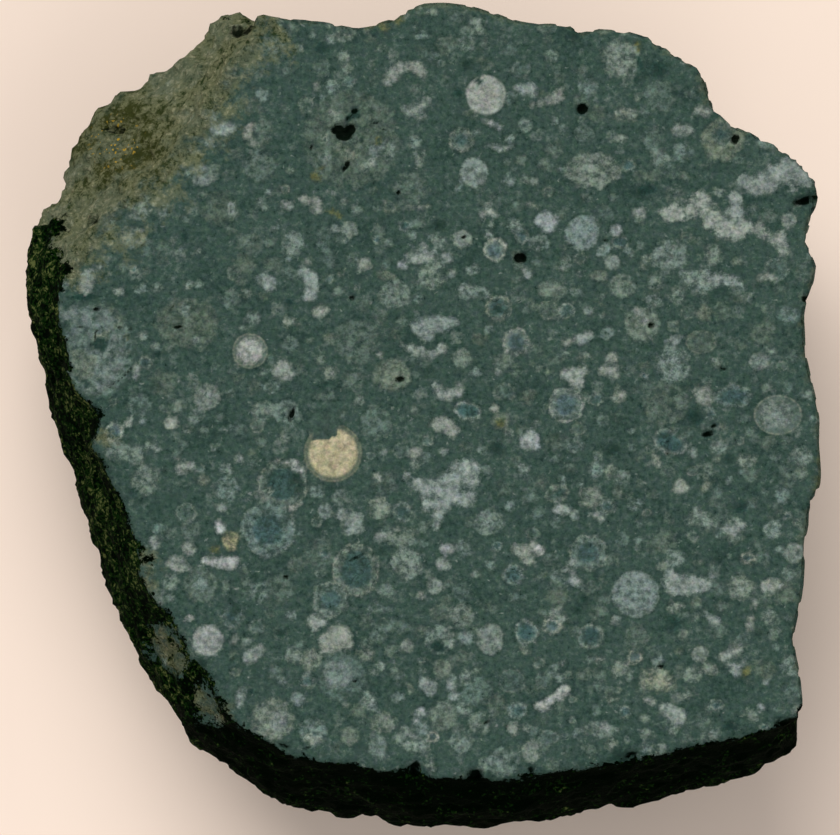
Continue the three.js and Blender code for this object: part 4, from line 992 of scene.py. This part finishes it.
class Tree:
    """Short ways to add and link the nodes of one tree. A value is a number, a colour or another node's
    output."""

    def __init__(self, tree):
        self.tree = tree

    def add(self, kind, inputs=(), **settings):
        node = self.tree.nodes.new(kind)
        for name, value in settings.items():
            setattr(node, name, value)
        for name, value in dict(inputs).items():
            self.feed(node.inputs[name], value)
        return node

    def feed(self, socket, value):
        if isinstance(value, bpy.types.NodeSocket):
            self.tree.links.new(value, socket)
        elif isinstance(value, (tuple, list)) and len(value) == 3 and socket.type == "RGBA":
            socket.default_value = (*value, 1)
        else:
            socket.default_value = value

    def math(self, operation, *values):
        return self.add("ShaderNodeMath", dict(enumerate(values)), operation=operation).outputs[0]

    def scaled(self, vector, scale):
        node = self.add("ShaderNodeVectorMath", {0: vector, 3: scale}, operation="SCALE")
        return node.outputs[0]

    def stretched(self, vector, scale, place=(0, 0, 0)):
        node = self.add("ShaderNodeMapping", {0: vector, 1: place, 3: scale})
        return node.outputs[0]

    def mix(self, share, first, second, blend_type="MIX"):
        node = self.add("ShaderNodeMix", data_type="RGBA", blend_type=blend_type)
        for index, value in ((0, share), (6, first), (7, second)):
            self.feed(node.inputs[index], value)
        return node.outputs[2]

    def step(self, value, low, high, to_low=0.0, to_high=1.0):
        """Goes smoothly from one value to another as the input goes from low to high."""
        inputs = {0: value, 1: low, 2: high, 3: to_low, 4: to_high}
        return self.add("ShaderNodeMapRange", inputs, interpolation_type="SMOOTHSTEP").outputs[0]

    def noise(self, vector, scale, detail=2.0, roughness=0.5, output="Fac"):
        inputs = {"Vector": vector, "Scale": scale, "Detail": detail, "Roughness": roughness}
        return self.add("ShaderNodeTexNoise", inputs).outputs[output]

    def cells(self, vector, scale):
        return self.add("ShaderNodeTexVoronoi", {"Vector": vector, "Scale": scale}).outputs

    def warped(self, vector, scale, amount):
        """Bent coordinates, so that a pattern's round spots and straight edges turn irregular."""
        bend = self.noise(vector, scale, output="Color")
        centred = self.add("ShaderNodeVectorMath", {0: bend, 1: (0.5, 0.5, 0.5)}, operation="SUBTRACT")
        moved = self.scaled(centred.outputs[0], amount)
        return self.add("ShaderNodeVectorMath", {0: vector, 1: moved}, operation="ADD").outputs[0]

    def group(self, tree, inputs):
        node = self.add("ShaderNodeGroup", node_tree=tree)
        for name, value in inputs.items():
            self.feed(node.inputs[name], value)
        return node.outputs

    def parts(self, colour):
        return self.add("ShaderNodeSeparateColor", {0: colour}).outputs

    def attribute(self, name):
        return self.add("ShaderNodeAttribute", attribute_name=name, attribute_type="GEOMETRY").outputs


def millimetres(tree):
    """Object coordinates in millimetres."""
    return tree.scaled(tree.add("ShaderNodeTexCoord").outputs["Object"], 1 / MM)


def shader_group(name, inputs, outputs):
    """A node group with its sockets. Gives its tree, its inputs by name and the node its outputs go to."""
    group = bpy.data.node_groups.new(name, "ShaderNodeTree")
    for in_out, sockets in (("INPUT", inputs), ("OUTPUT", outputs)):
        for socket_name, kind in sockets.items():
            group.interface.new_socket(socket_name, in_out=in_out, socket_type=f"NodeSocket{kind}")
    tree = Tree(group)
    return tree, tree.add("NodeGroupInput").outputs, tree.add("NodeGroupOutput")


def finish_group(tree, outlet, values):
    """Feeds a group's outputs and gives the group."""
    for name, value in values.items():
        tree.feed(outlet.inputs[name], value)
    return tree.tree


def strewn_group():
    """Spots strewn at random: a mask of the spots and a random value for each."""
    tree, given, outlet = shader_group(
        "Strewn Grains",
        {"Vector": "Vector", "Per Millimetre": "Float", "Share": "Float", "Softness": "Float"},
        {"Mask": "Float", "Tone": "Float"},
    )
    cells = tree.cells(given["Vector"], given["Per Millimetre"])
    chances = tree.parts(cells["Color"])
    radius = tree.step(chances[0], 0, 1, 0.16, 0.46)
    kept = tree.math("LESS_THAN", chances[1], given["Share"])
    mask = tree.step(tree.math("SUBTRACT", radius, cells["Distance"]), 0, given["Softness"])
    return finish_group(tree, outlet, {"Mask": tree.math("MULTIPLY", mask, kept), "Tone": chances[2]})


# Crumbs in the fine stone, of three sizes: cells to the millimetre, the share of cells that hold one, how
# plainly they show, and a shift, so that the three don't lie on each other.
CRUMBS = [(1.0, 0.75, 0.75, 3.0), (2.1, 0.7, 0.85, 7.0), (4.6, 0.4, 1.0, 11.0)]


def fine_stone_group(strewn):
    """The fine stone between the grains, itself full of small crumbs."""
    tree, given, outlet = shader_group(
        "Fine Stone",
        {"Vector": "Vector", "Warped": "Vector", "Dust": "Float", "Dark": "Color", "Stone": "Color",
         "Light": "Color", "Bright": "Color", "Gap": "Color"},
        {"Color": "Color"},
    )
    dust = given["Dust"]
    clouds = tree.noise(given["Vector"], 0.4, 4.0, 0.6)
    shade = tree.math("ADD", tree.math("MULTIPLY", clouds, 0.5), tree.math("MULTIPLY", dust, 0.5))
    colour = tree.mix(tree.step(shade, 0.38, 0.52), given["Dark"], given["Stone"])
    colour = tree.mix(tree.step(shade, 0.52, 0.68, 0, 0.8), colour, given["Light"])
    grainy = tree.step(dust, 0.36, 0.6, 0.25, 1.0)
    for scale, share, strength, shift in CRUMBS:
        crumbs = tree.group(strewn, {
            "Vector": tree.stretched(given["Warped"], (1, 1, 1), (shift, shift * 2, 0)),
            "Per Millimetre": scale, "Share": share, "Softness": 0.2,
        })
        tone = tree.mix(tree.step(crumbs["Tone"], 0.15, 0.85), given["Dark"], given["Light"])
        tone = tree.mix(tree.step(crumbs["Tone"], 0.85, 1.0), tone, given["Bright"])
        seen = tree.math("MULTIPLY", tree.math("MULTIPLY", crumbs["Mask"], strength), grainy)
        colour = tree.mix(seen, colour, tone)
    # Painted shade: the pores, at the low spots of the fine bumps, are darkened with the gap colour.
    pores = tree.step(dust, 0.36, 0.27, 0, 0.7)
    return finish_group(tree, outlet, {"Color": tree.mix(pores, colour, given["Gap"])})


def grain_group():
    """The grains stored on the skin, in their colours over the stone."""
    tree, given, outlet = shader_group(
        "Laid Grains",
        {"Vector": "Vector", "Dust": "Float", "Crystals": "Float", "Stone": "Color", "Gap": "Color"},
        {"Color": "Color"},
    )
    vector, dust = given["Vector"], given["Dust"]
    finish = tree.attribute("grain_finish")
    band, core_depth, speckle = tree.parts(finish["Color"])

    # How deep inside a grain a point lies, with the grain's edge ragged.
    wander = tree.math("SUBTRACT", tree.noise(vector, 1.6, 4.0, 0.75), 0.5)
    wander = tree.math("MULTIPLY", wander, tree.math("MULTIPLY", finish["Alpha"], 10.0))
    depth = tree.math("SUBTRACT", wander, tree.attribute("grain_edge")["Fac"])
    soft = tree.math("MULTIPLY_ADD", finish["Alpha"], 0.9, 0.05)
    inside = tree.step(depth, tree.math("MULTIPLY", soft, -1.0), soft)

    # Rim, mantle and core.
    in_mantle = tree.step(tree.math("SUBTRACT", depth, band), -0.05, 0.05)
    in_core = tree.step(tree.math("SUBTRACT", depth, core_depth), -0.12, 0.12)
    colours = {part: tree.attribute(f"grain_{part}")["Color"] for part in ("core", "mantle", "rim")}
    rim = tree.mix(tree.step(dust, 0.4, 0.58, 0.2, 1.0), colours["mantle"], colours["rim"])
    colour = tree.mix(in_mantle, rim, tree.mix(in_core, colours["mantle"], colours["core"]))

    # Lighter and darker crystals.
    swing = tree.math("MULTIPLY_ADD", speckle, 1.15, 0.5)
    patches = tree.noise(vector, 2.7, 3.0, 0.62)
    crystals = tree.math("MULTIPLY", given["Crystals"], 0.3)
    mixed = tree.math("ADD", crystals, tree.math("MULTIPLY", patches, 1.9))
    tone = tree.math("MULTIPLY_ADD", tree.math("SUBTRACT", mixed, 1.1), swing, 1.0)
    grey = tree.add("ShaderNodeCombineColor", {0: tone, 1: tone, 2: tone}).outputs[0]
    colour = tree.mix(1.0, colour, grey, "MULTIPLY")

    # Stone between the crystals, holes darkened as painted shade, dark cracks, and a dark line round the
    # grain.
    clumps = tree.math("MULTIPLY_ADD", patches, 0.6, tree.math("MULTIPLY", dust, 0.4))
    gaps = tree.math("MULTIPLY", tree.step(clumps, 0.55, 0.38), speckle)
    colour = tree.mix(gaps, colour, given["Stone"])
    holes = tree.math("MULTIPLY", tree.step(dust, 0.36, 0.28), speckle)
    cracks = tree.math("ABSOLUTE", tree.math("SUBTRACT", tree.noise(vector, 0.6, 3.0, 0.6), 0.5))
    veins = tree.math("MULTIPLY", tree.step(cracks, 0.022, 0.006), tree.attribute("grain_core")["Alpha"])
    colour = tree.mix(tree.math("MAXIMUM", holes, veins), colour, given["Gap"])
    outline = tree.step(depth, -0.2, -0.05, 0, 0.15)
    stone = tree.mix(outline, given["Stone"], given["Gap"])
    return finish_group(tree, outlet, {"Color": tree.mix(inside, stone, colour)})


def crust_group():
    """Melted crust: black, with olive dust on its knobs, most where its dust and painted light are high.
    Following the knobs, it also paints shade in the hollows and light on the tops.
    """
    tree, given, outlet = shader_group(
        "Melted Crust",
        {"Vector": "Vector", "Crystals": "Float", "Dusty": "Float", "Crust": "Color", "Thin": "Color",
         "Grains": "Color"},
        {"Color": "Color", "Height": "Float"},
    )
    # The pattern is drawn out downwards, along the steep sides.
    drawn_out = tree.stretched(given["Vector"], (1, 1, 0.62))
    streaks = tree.noise(drawn_out, 1.5, 3.0, 0.7)
    grit = tree.noise(drawn_out, 4.2, 4.0, 0.8)
    knobs = tree.math("ADD", tree.math("MULTIPLY", streaks, 0.9), tree.math("MULTIPLY", grit, 1.2))
    bead_cells = tree.cells(tree.warped(drawn_out, 2.0, 0.5), 3.8)
    beads = tree.step(bead_cells["Distance"], 0.7, 0.15, -0.13, 0.13)
    knobs = tree.math("ADD", beads, tree.math("MULTIPLY_ADD", given["Crystals"], 0.4, knobs))
    clouds = tree.noise(given["Vector"], 0.55, 3.0, 0.6)
    dust_and_light = tree.math("MULTIPLY_ADD", given["Dusty"], 0.3, tree.math("MULTIPLY_ADD", clouds, 0.9, -0.97))
    # Painted light and shade: the colour follows the knobs' height, and the left side's painted light adds to
    # it.
    shade = tree.math("ADD", knobs, dust_and_light)
    colour = tree.mix(tree.step(shade, 0.85, 1.1), given["Crust"], given["Thin"])
    colour = tree.mix(tree.step(shade, 1.1, 1.45), colour, given["Grains"])
    return finish_group(tree, outlet, {"Color": colour, "Height": tree.math("SUBTRACT", knobs, 1.25)})


def weathering_group(strewn):
    """Brown stain with pale knobs, dark creases and golden crystals, over a given colour. The pale knobs and
    dark creases follow the height, so they are partly painted light and painted shade.
    """
    tree, given, outlet = shader_group(
        "Weathering",
        {"Vector": "Vector", "Dust": "Float", "Crystals": "Float", "Golden": "Float", "Color": "Color",
         "Dark": "Color", "Stain": "Color", "Pale": "Color", "Rust": "Color", "Amount": "Float"},
        {"Color": "Color", "Height": "Float"},
    )
    # The pattern is drawn out downwards, so that its knobs look round on the steep facet.
    vector = tree.stretched(given["Vector"], (1, 1, 0.6))
    patches = tree.noise(vector, 0.5, 4.0, 0.65)
    knobs = tree.noise(vector, 1.7, 5.0, 0.75)
    grit = tree.step(tree.cells(tree.warped(vector, 2.0, 0.5), 2.6)["Distance"], 0.6, 0.15)
    shade = tree.math("MULTIPLY_ADD", given["Dust"], 0.3, tree.math("MULTIPLY", given["Crystals"], 0.15))
    knobbly = tree.math("MULTIPLY_ADD", knobs, 0.9, tree.math("MULTIPLY", patches, 0.5))
    shade = tree.math("ADD", shade, knobbly)
    shade = tree.math("MULTIPLY_ADD", tree.math("SUBTRACT", grit, 0.5), 0.12, shade)
    shade = tree.math("SUBTRACT", shade, tree.step(given["Golden"], 0, 0.7, 0, 0.1))
    # Painted light and shade: the knobs that raise the height also lighten the colour, and the creases darken
    # it.
    stained = tree.mix(tree.step(shade, 0.68, 0.9), given["Dark"], given["Stain"])
    stained = tree.mix(tree.step(shade, 0.9, 1.15), stained, given["Pale"])
    stained = tree.mix(tree.step(given["Golden"], 0, 0.7, 0, 0.05), stained, given["Rust"])
    bared = tree.step(patches, 0.62, 0.42, 0.6, 1.0)
    colour = tree.mix(tree.math("MULTIPLY", bared, given["Amount"]), given["Color"], stained)
    golden = tree.math("MULTIPLY", tree.step(given["Golden"], 0.55, 0.8), given["Amount"])
    glints = tree.group(strewn, {
        "Vector": tree.warped(vector, 1.5, 0.6), "Per Millimetre": 4.5, "Share": 0.45, "Softness": 0.1,
    })["Mask"]
    colour = tree.mix(tree.math("MULTIPLY", golden, glints), colour, given["Rust"])
    height = tree.math("MULTIPLY_ADD", grit, 0.3, tree.math("SUBTRACT", knobs, 0.65))
    return finish_group(tree, outlet, {"Color": colour, "Height": height})


def stone_material(colours):
    """The sawn stone with its grains, and over it the weathering, the crust and painted shade in the pits."""
    material = bpy.data.materials.new("meteorite stone")
    material.use_nodes = True
    material.node_tree.nodes.clear()
    tree = Tree(material.node_tree)

    # The patterns that all of the stone shares, and the zones.
    vector = millimetres(tree)
    warped = tree.warped(vector, 2.2, 0.7)
    tints = tree.noise(vector, 3.4, 4.0, 0.75, "Color")
    dust = tree.parts(tints)[0]
    crystals = tree.parts(tree.cells(warped, 7.5)["Color"])[0]
    zones = tree.attribute("skin_zones")
    crust_inside, facet_inside, broken_inside = tree.parts(zones["Color"])
    stone, dark, light, bright, gap = (
        getattr(colours, name)[:] for name in ("stone", "stone_dark", "stone_light", "stone_bright", "gap")
    )

    # The sawn stone, lighter and darker and slightly tinted from spot to spot.
    strewn = strewn_group()
    fine = tree.group(fine_stone_group(strewn), {
        "Vector": vector, "Warped": warped, "Dust": dust,
        "Dark": dark, "Stone": stone, "Light": light, "Bright": bright, "Gap": gap,
    })["Color"]
    grains = tree.group(grain_group(), {
        "Vector": vector, "Dust": dust, "Crystals": crystals, "Stone": fine, "Gap": gap,
    })["Color"]
    tinted = tree.add(
        "ShaderNodeVectorMath", {0: tints, 1: (0.52,) * 3, 2: (0.74,) * 3}, operation="MULTIPLY_ADD"
    )
    tone = tree.math("MULTIPLY_ADD", dust, 1.3, 0.23)
    sawn = tree.mix(1.0, grains, tree.scaled(tinted.outputs[0], tone), "MULTIPLY")

    # The zones' borders wander by up to half a millimetre. The broken sides are weathered a little.
    wander = tree.step(tree.noise(vector, 0.9, 5.0, 0.7), 0.3, 0.7, -0.5, 0.5)
    facet = tree.step(tree.math("ADD", facet_inside, wander), -0.45, 0.35)
    broken = tree.step(tree.math("ADD", broken_inside, wander), -0.2, 0.3)
    weathered = tree.math("MAXIMUM", facet, tree.math("MULTIPLY", broken, 0.3))
    rough = tree.group(weathering_group(strewn), {
        "Vector": vector, "Dust": dust, "Crystals": crystals, "Golden": tree.attribute("golden")["Fac"],
        "Color": sawn, "Dark": colours.brown_dark_shade[:], "Stain": colours.brown[:],
        "Pale": colours.brown_pale_lit[:], "Rust": colours.rust[:], "Amount": weathered,
    })
    crust = tree.group(crust_group(), {
        "Vector": vector, "Crystals": crystals, "Dusty": tree.attribute("crust_dust_and_light")["Fac"],
        "Crust": colours.crust[:], "Thin": colours.crust_thin[:], "Grains": colours.crust_dusty_lit[:],
    })

    # The crust's frayed border, and painted shade in the pits and hollows: they are darkened with the crust's
    # colour.
    fray = tree.step(dust, 0.35, 0.65, -0.25, 0.25)
    crusted = tree.step(tree.math("ADD", tree.math("ADD", crust_inside, wander), fray), -0.12, 0.12)
    colour = tree.mix(crusted, rough["Color"], crust["Color"])
    pit = tree.step(tree.math("MULTIPLY_ADD", wander, 0.12, zones["Alpha"]), -0.03, 0.06)
    colour = tree.mix(tree.math("MULTIPLY", pit, 0.95), colour, colours.crust[:])

    # The finest relief, weak on the sawn face.
    unsawn = tree.step(tree.math("MAXIMUM", facet_inside, broken_inside), 0.0, 0.1)
    centred = tree.math("SUBTRACT", dust, 0.5)
    height = tree.math("MULTIPLY", centred, tree.math("MULTIPLY_ADD", unsawn, 0.8, 0.25))
    height = tree.math("MULTIPLY_ADD", rough["Height"], tree.math("MULTIPLY", unsawn, 2.0), height)
    height = tree.math("MULTIPLY_ADD", crust["Height"], tree.math("MULTIPLY", crusted, 1.5), height)
    bump = tree.add("ShaderNodeBump", {"Height": height, "Distance": 0.15 * MM, "Strength": 1.0})
    shader = tree.add("ShaderNodeBsdfPrincipled", {
        "Base Color": colour, "Roughness": 0.78, "Normal": bump.outputs[0], "Specular IOR Level": 0.01,
    })
    tree.add("ShaderNodeOutputMaterial", {"Surface": shader.outputs[0]})
    return material


# The stage.

# The floor's width in metres, how wide the lights spread in degrees, the camera's sensor in millimetres,
# and the frame's width and height in pixels. The square fills the frame's width.
FLOOR_SIZE = 4.0
LIGHT_SPREAD = 45
SENSOR_WIDTH = 36
FRAME_PIXELS = (840, 835)


def floor_material(look):
    material = bpy.data.materials.new("pale floor")
    material.use_nodes = True
    shader = material.node_tree.nodes["Principled BSDF"]
    shader.inputs["Base Color"].default_value = (*look.floor, 1)
    shader.inputs["Roughness"].default_value = 0.9
    shader.inputs["Specular IOR Level"].default_value = 0.1
    return material


def link(name, data):
    """An object of the given name, in the scene."""
    piece = bpy.data.objects.new(name, data)
    bpy.context.scene.collection.objects.link(piece)
    return piece


def soft_light(name, direction, strength, colour):
    """A wide light from far away, which lights the whole floor evenly."""
    light = bpy.data.lights.new(name, "SUN")
    light.angle = math.radians(LIGHT_SPREAD)
    light.energy = strength
    light.color = colour
    lamp = link(name, light)
    lamp.location = direction
    lamp.rotation_euler = (-Vector(direction)).to_track_quat("-Z", "Y").to_euler()


class OBJECT_OT_meteorite_stone(bpy.types.Operator):
    """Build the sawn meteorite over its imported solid"""

    bl_idname = "object.meteorite_stone"
    bl_label = "Build Stone"
    bl_options = {"REGISTER", "UNDO"}

    def execute(self, context):
        mesh = stone_mesh(context.scene.stone_sizes)
        if not mesh.polygons:
            raise RuntimeError("the stone came out empty")
        stone = link("sawn_meteorite", mesh)
        mesh.materials.append(stone_material(context.scene.stone_colours))
        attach(stone, "root")
        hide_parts(STONE_NODE)
        print("stone triangles:", sum(len(face.vertices) - 2 for face in mesh.polygons))
        return {"FINISHED"}


class OBJECT_OT_meteorite_stage(bpy.types.Operator):
    """Build the floor, the lights and the camera"""

    bl_idname = "object.meteorite_stage"
    bl_label = "Build Stage"
    bl_options = {"REGISTER", "UNDO"}

    def execute(self, context):
        look = context.scene.stage_look
        bm = bmesh.new()
        bmesh.ops.create_grid(bm, x_segments=1, y_segments=1, size=FLOOR_SIZE / 2)
        mesh = bpy.data.meshes.new("floor")
        bm.to_mesh(mesh)
        bm.free()
        mesh.materials.append(floor_material(look))
        link("floor", mesh)

        soft_light("main light", (-0.32, 0.86, 0.95), look.main_light, (1, 0.98, 0.95))
        soft_light("front light", (0.6, -0.8, 1.0), look.front_light, (1, 0.99, 0.97))
        world = bpy.data.worlds.new("soft light")
        world.use_nodes = True
        background = world.node_tree.nodes["Background"]
        background.inputs["Color"].default_value = (1, 1, 1, 1)
        background.inputs["Strength"].default_value = look.fill
        context.scene.world = world
        context.scene.view_settings.view_transform = "Standard"

        camera = bpy.data.cameras.new("camera")
        camera.lens = look.lens
        camera.sensor_width = SENSOR_WIDTH
        middle = from_square(SQUARE_SIZE / 2, SQUARE_SIZE / 2 * FRAME_PIXELS[1] / FRAME_PIXELS[0])
        distance = SQUARE_SIZE * look.lens / camera.sensor_width
        camera.clip_end = 3 * distance * MM
        viewer = link("camera", camera)
        viewer.location = (middle[0] * MM, middle[1] * MM, (SAWN_HEIGHT + distance) * MM)
        context.scene.camera = viewer
        return {"FINISHED"}


class VIEW3D_PT_meteorite(bpy.types.Panel):
    bl_label = "Sawn Meteorite"
    bl_space_type = "VIEW_3D"
    bl_region_type = "UI"
    bl_category = "Meteorite"

    def draw(self, context):
        layout = self.layout
        for operator in OPERATORS:
            layout.operator(operator.bl_idname)
        for name, kind in SETTINGS.items():
            column = layout.column()
            for setting in kind.__annotations__:
                column.prop(getattr(context.scene, name), setting)


OPERATORS = (OBJECT_OT_meteorite_stone, OBJECT_OT_meteorite_stage)
SETTINGS = {"stone_sizes": StoneSizes, "stone_colours": StoneColours, "stage_look": StageLook}
CLASSES = (*SETTINGS.values(), *OPERATORS, VIEW3D_PT_meteorite)


def register():
    for kind in CLASSES:
        bpy.utils.register_class(kind)
    for name, kind in SETTINGS.items():
        setattr(bpy.types.Scene, name, PointerProperty(type=kind))


def unregister():
    for name in SETTINGS:
        delattr(bpy.types.Scene, name)
    for kind in reversed(CLASSES):
        bpy.utils.unregister_class(kind)


def main():
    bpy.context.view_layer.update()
    register()
    bpy.ops.object.meteorite_stone()
    bpy.ops.object.meteorite_stage()


if __name__ == "__main__":
    main()
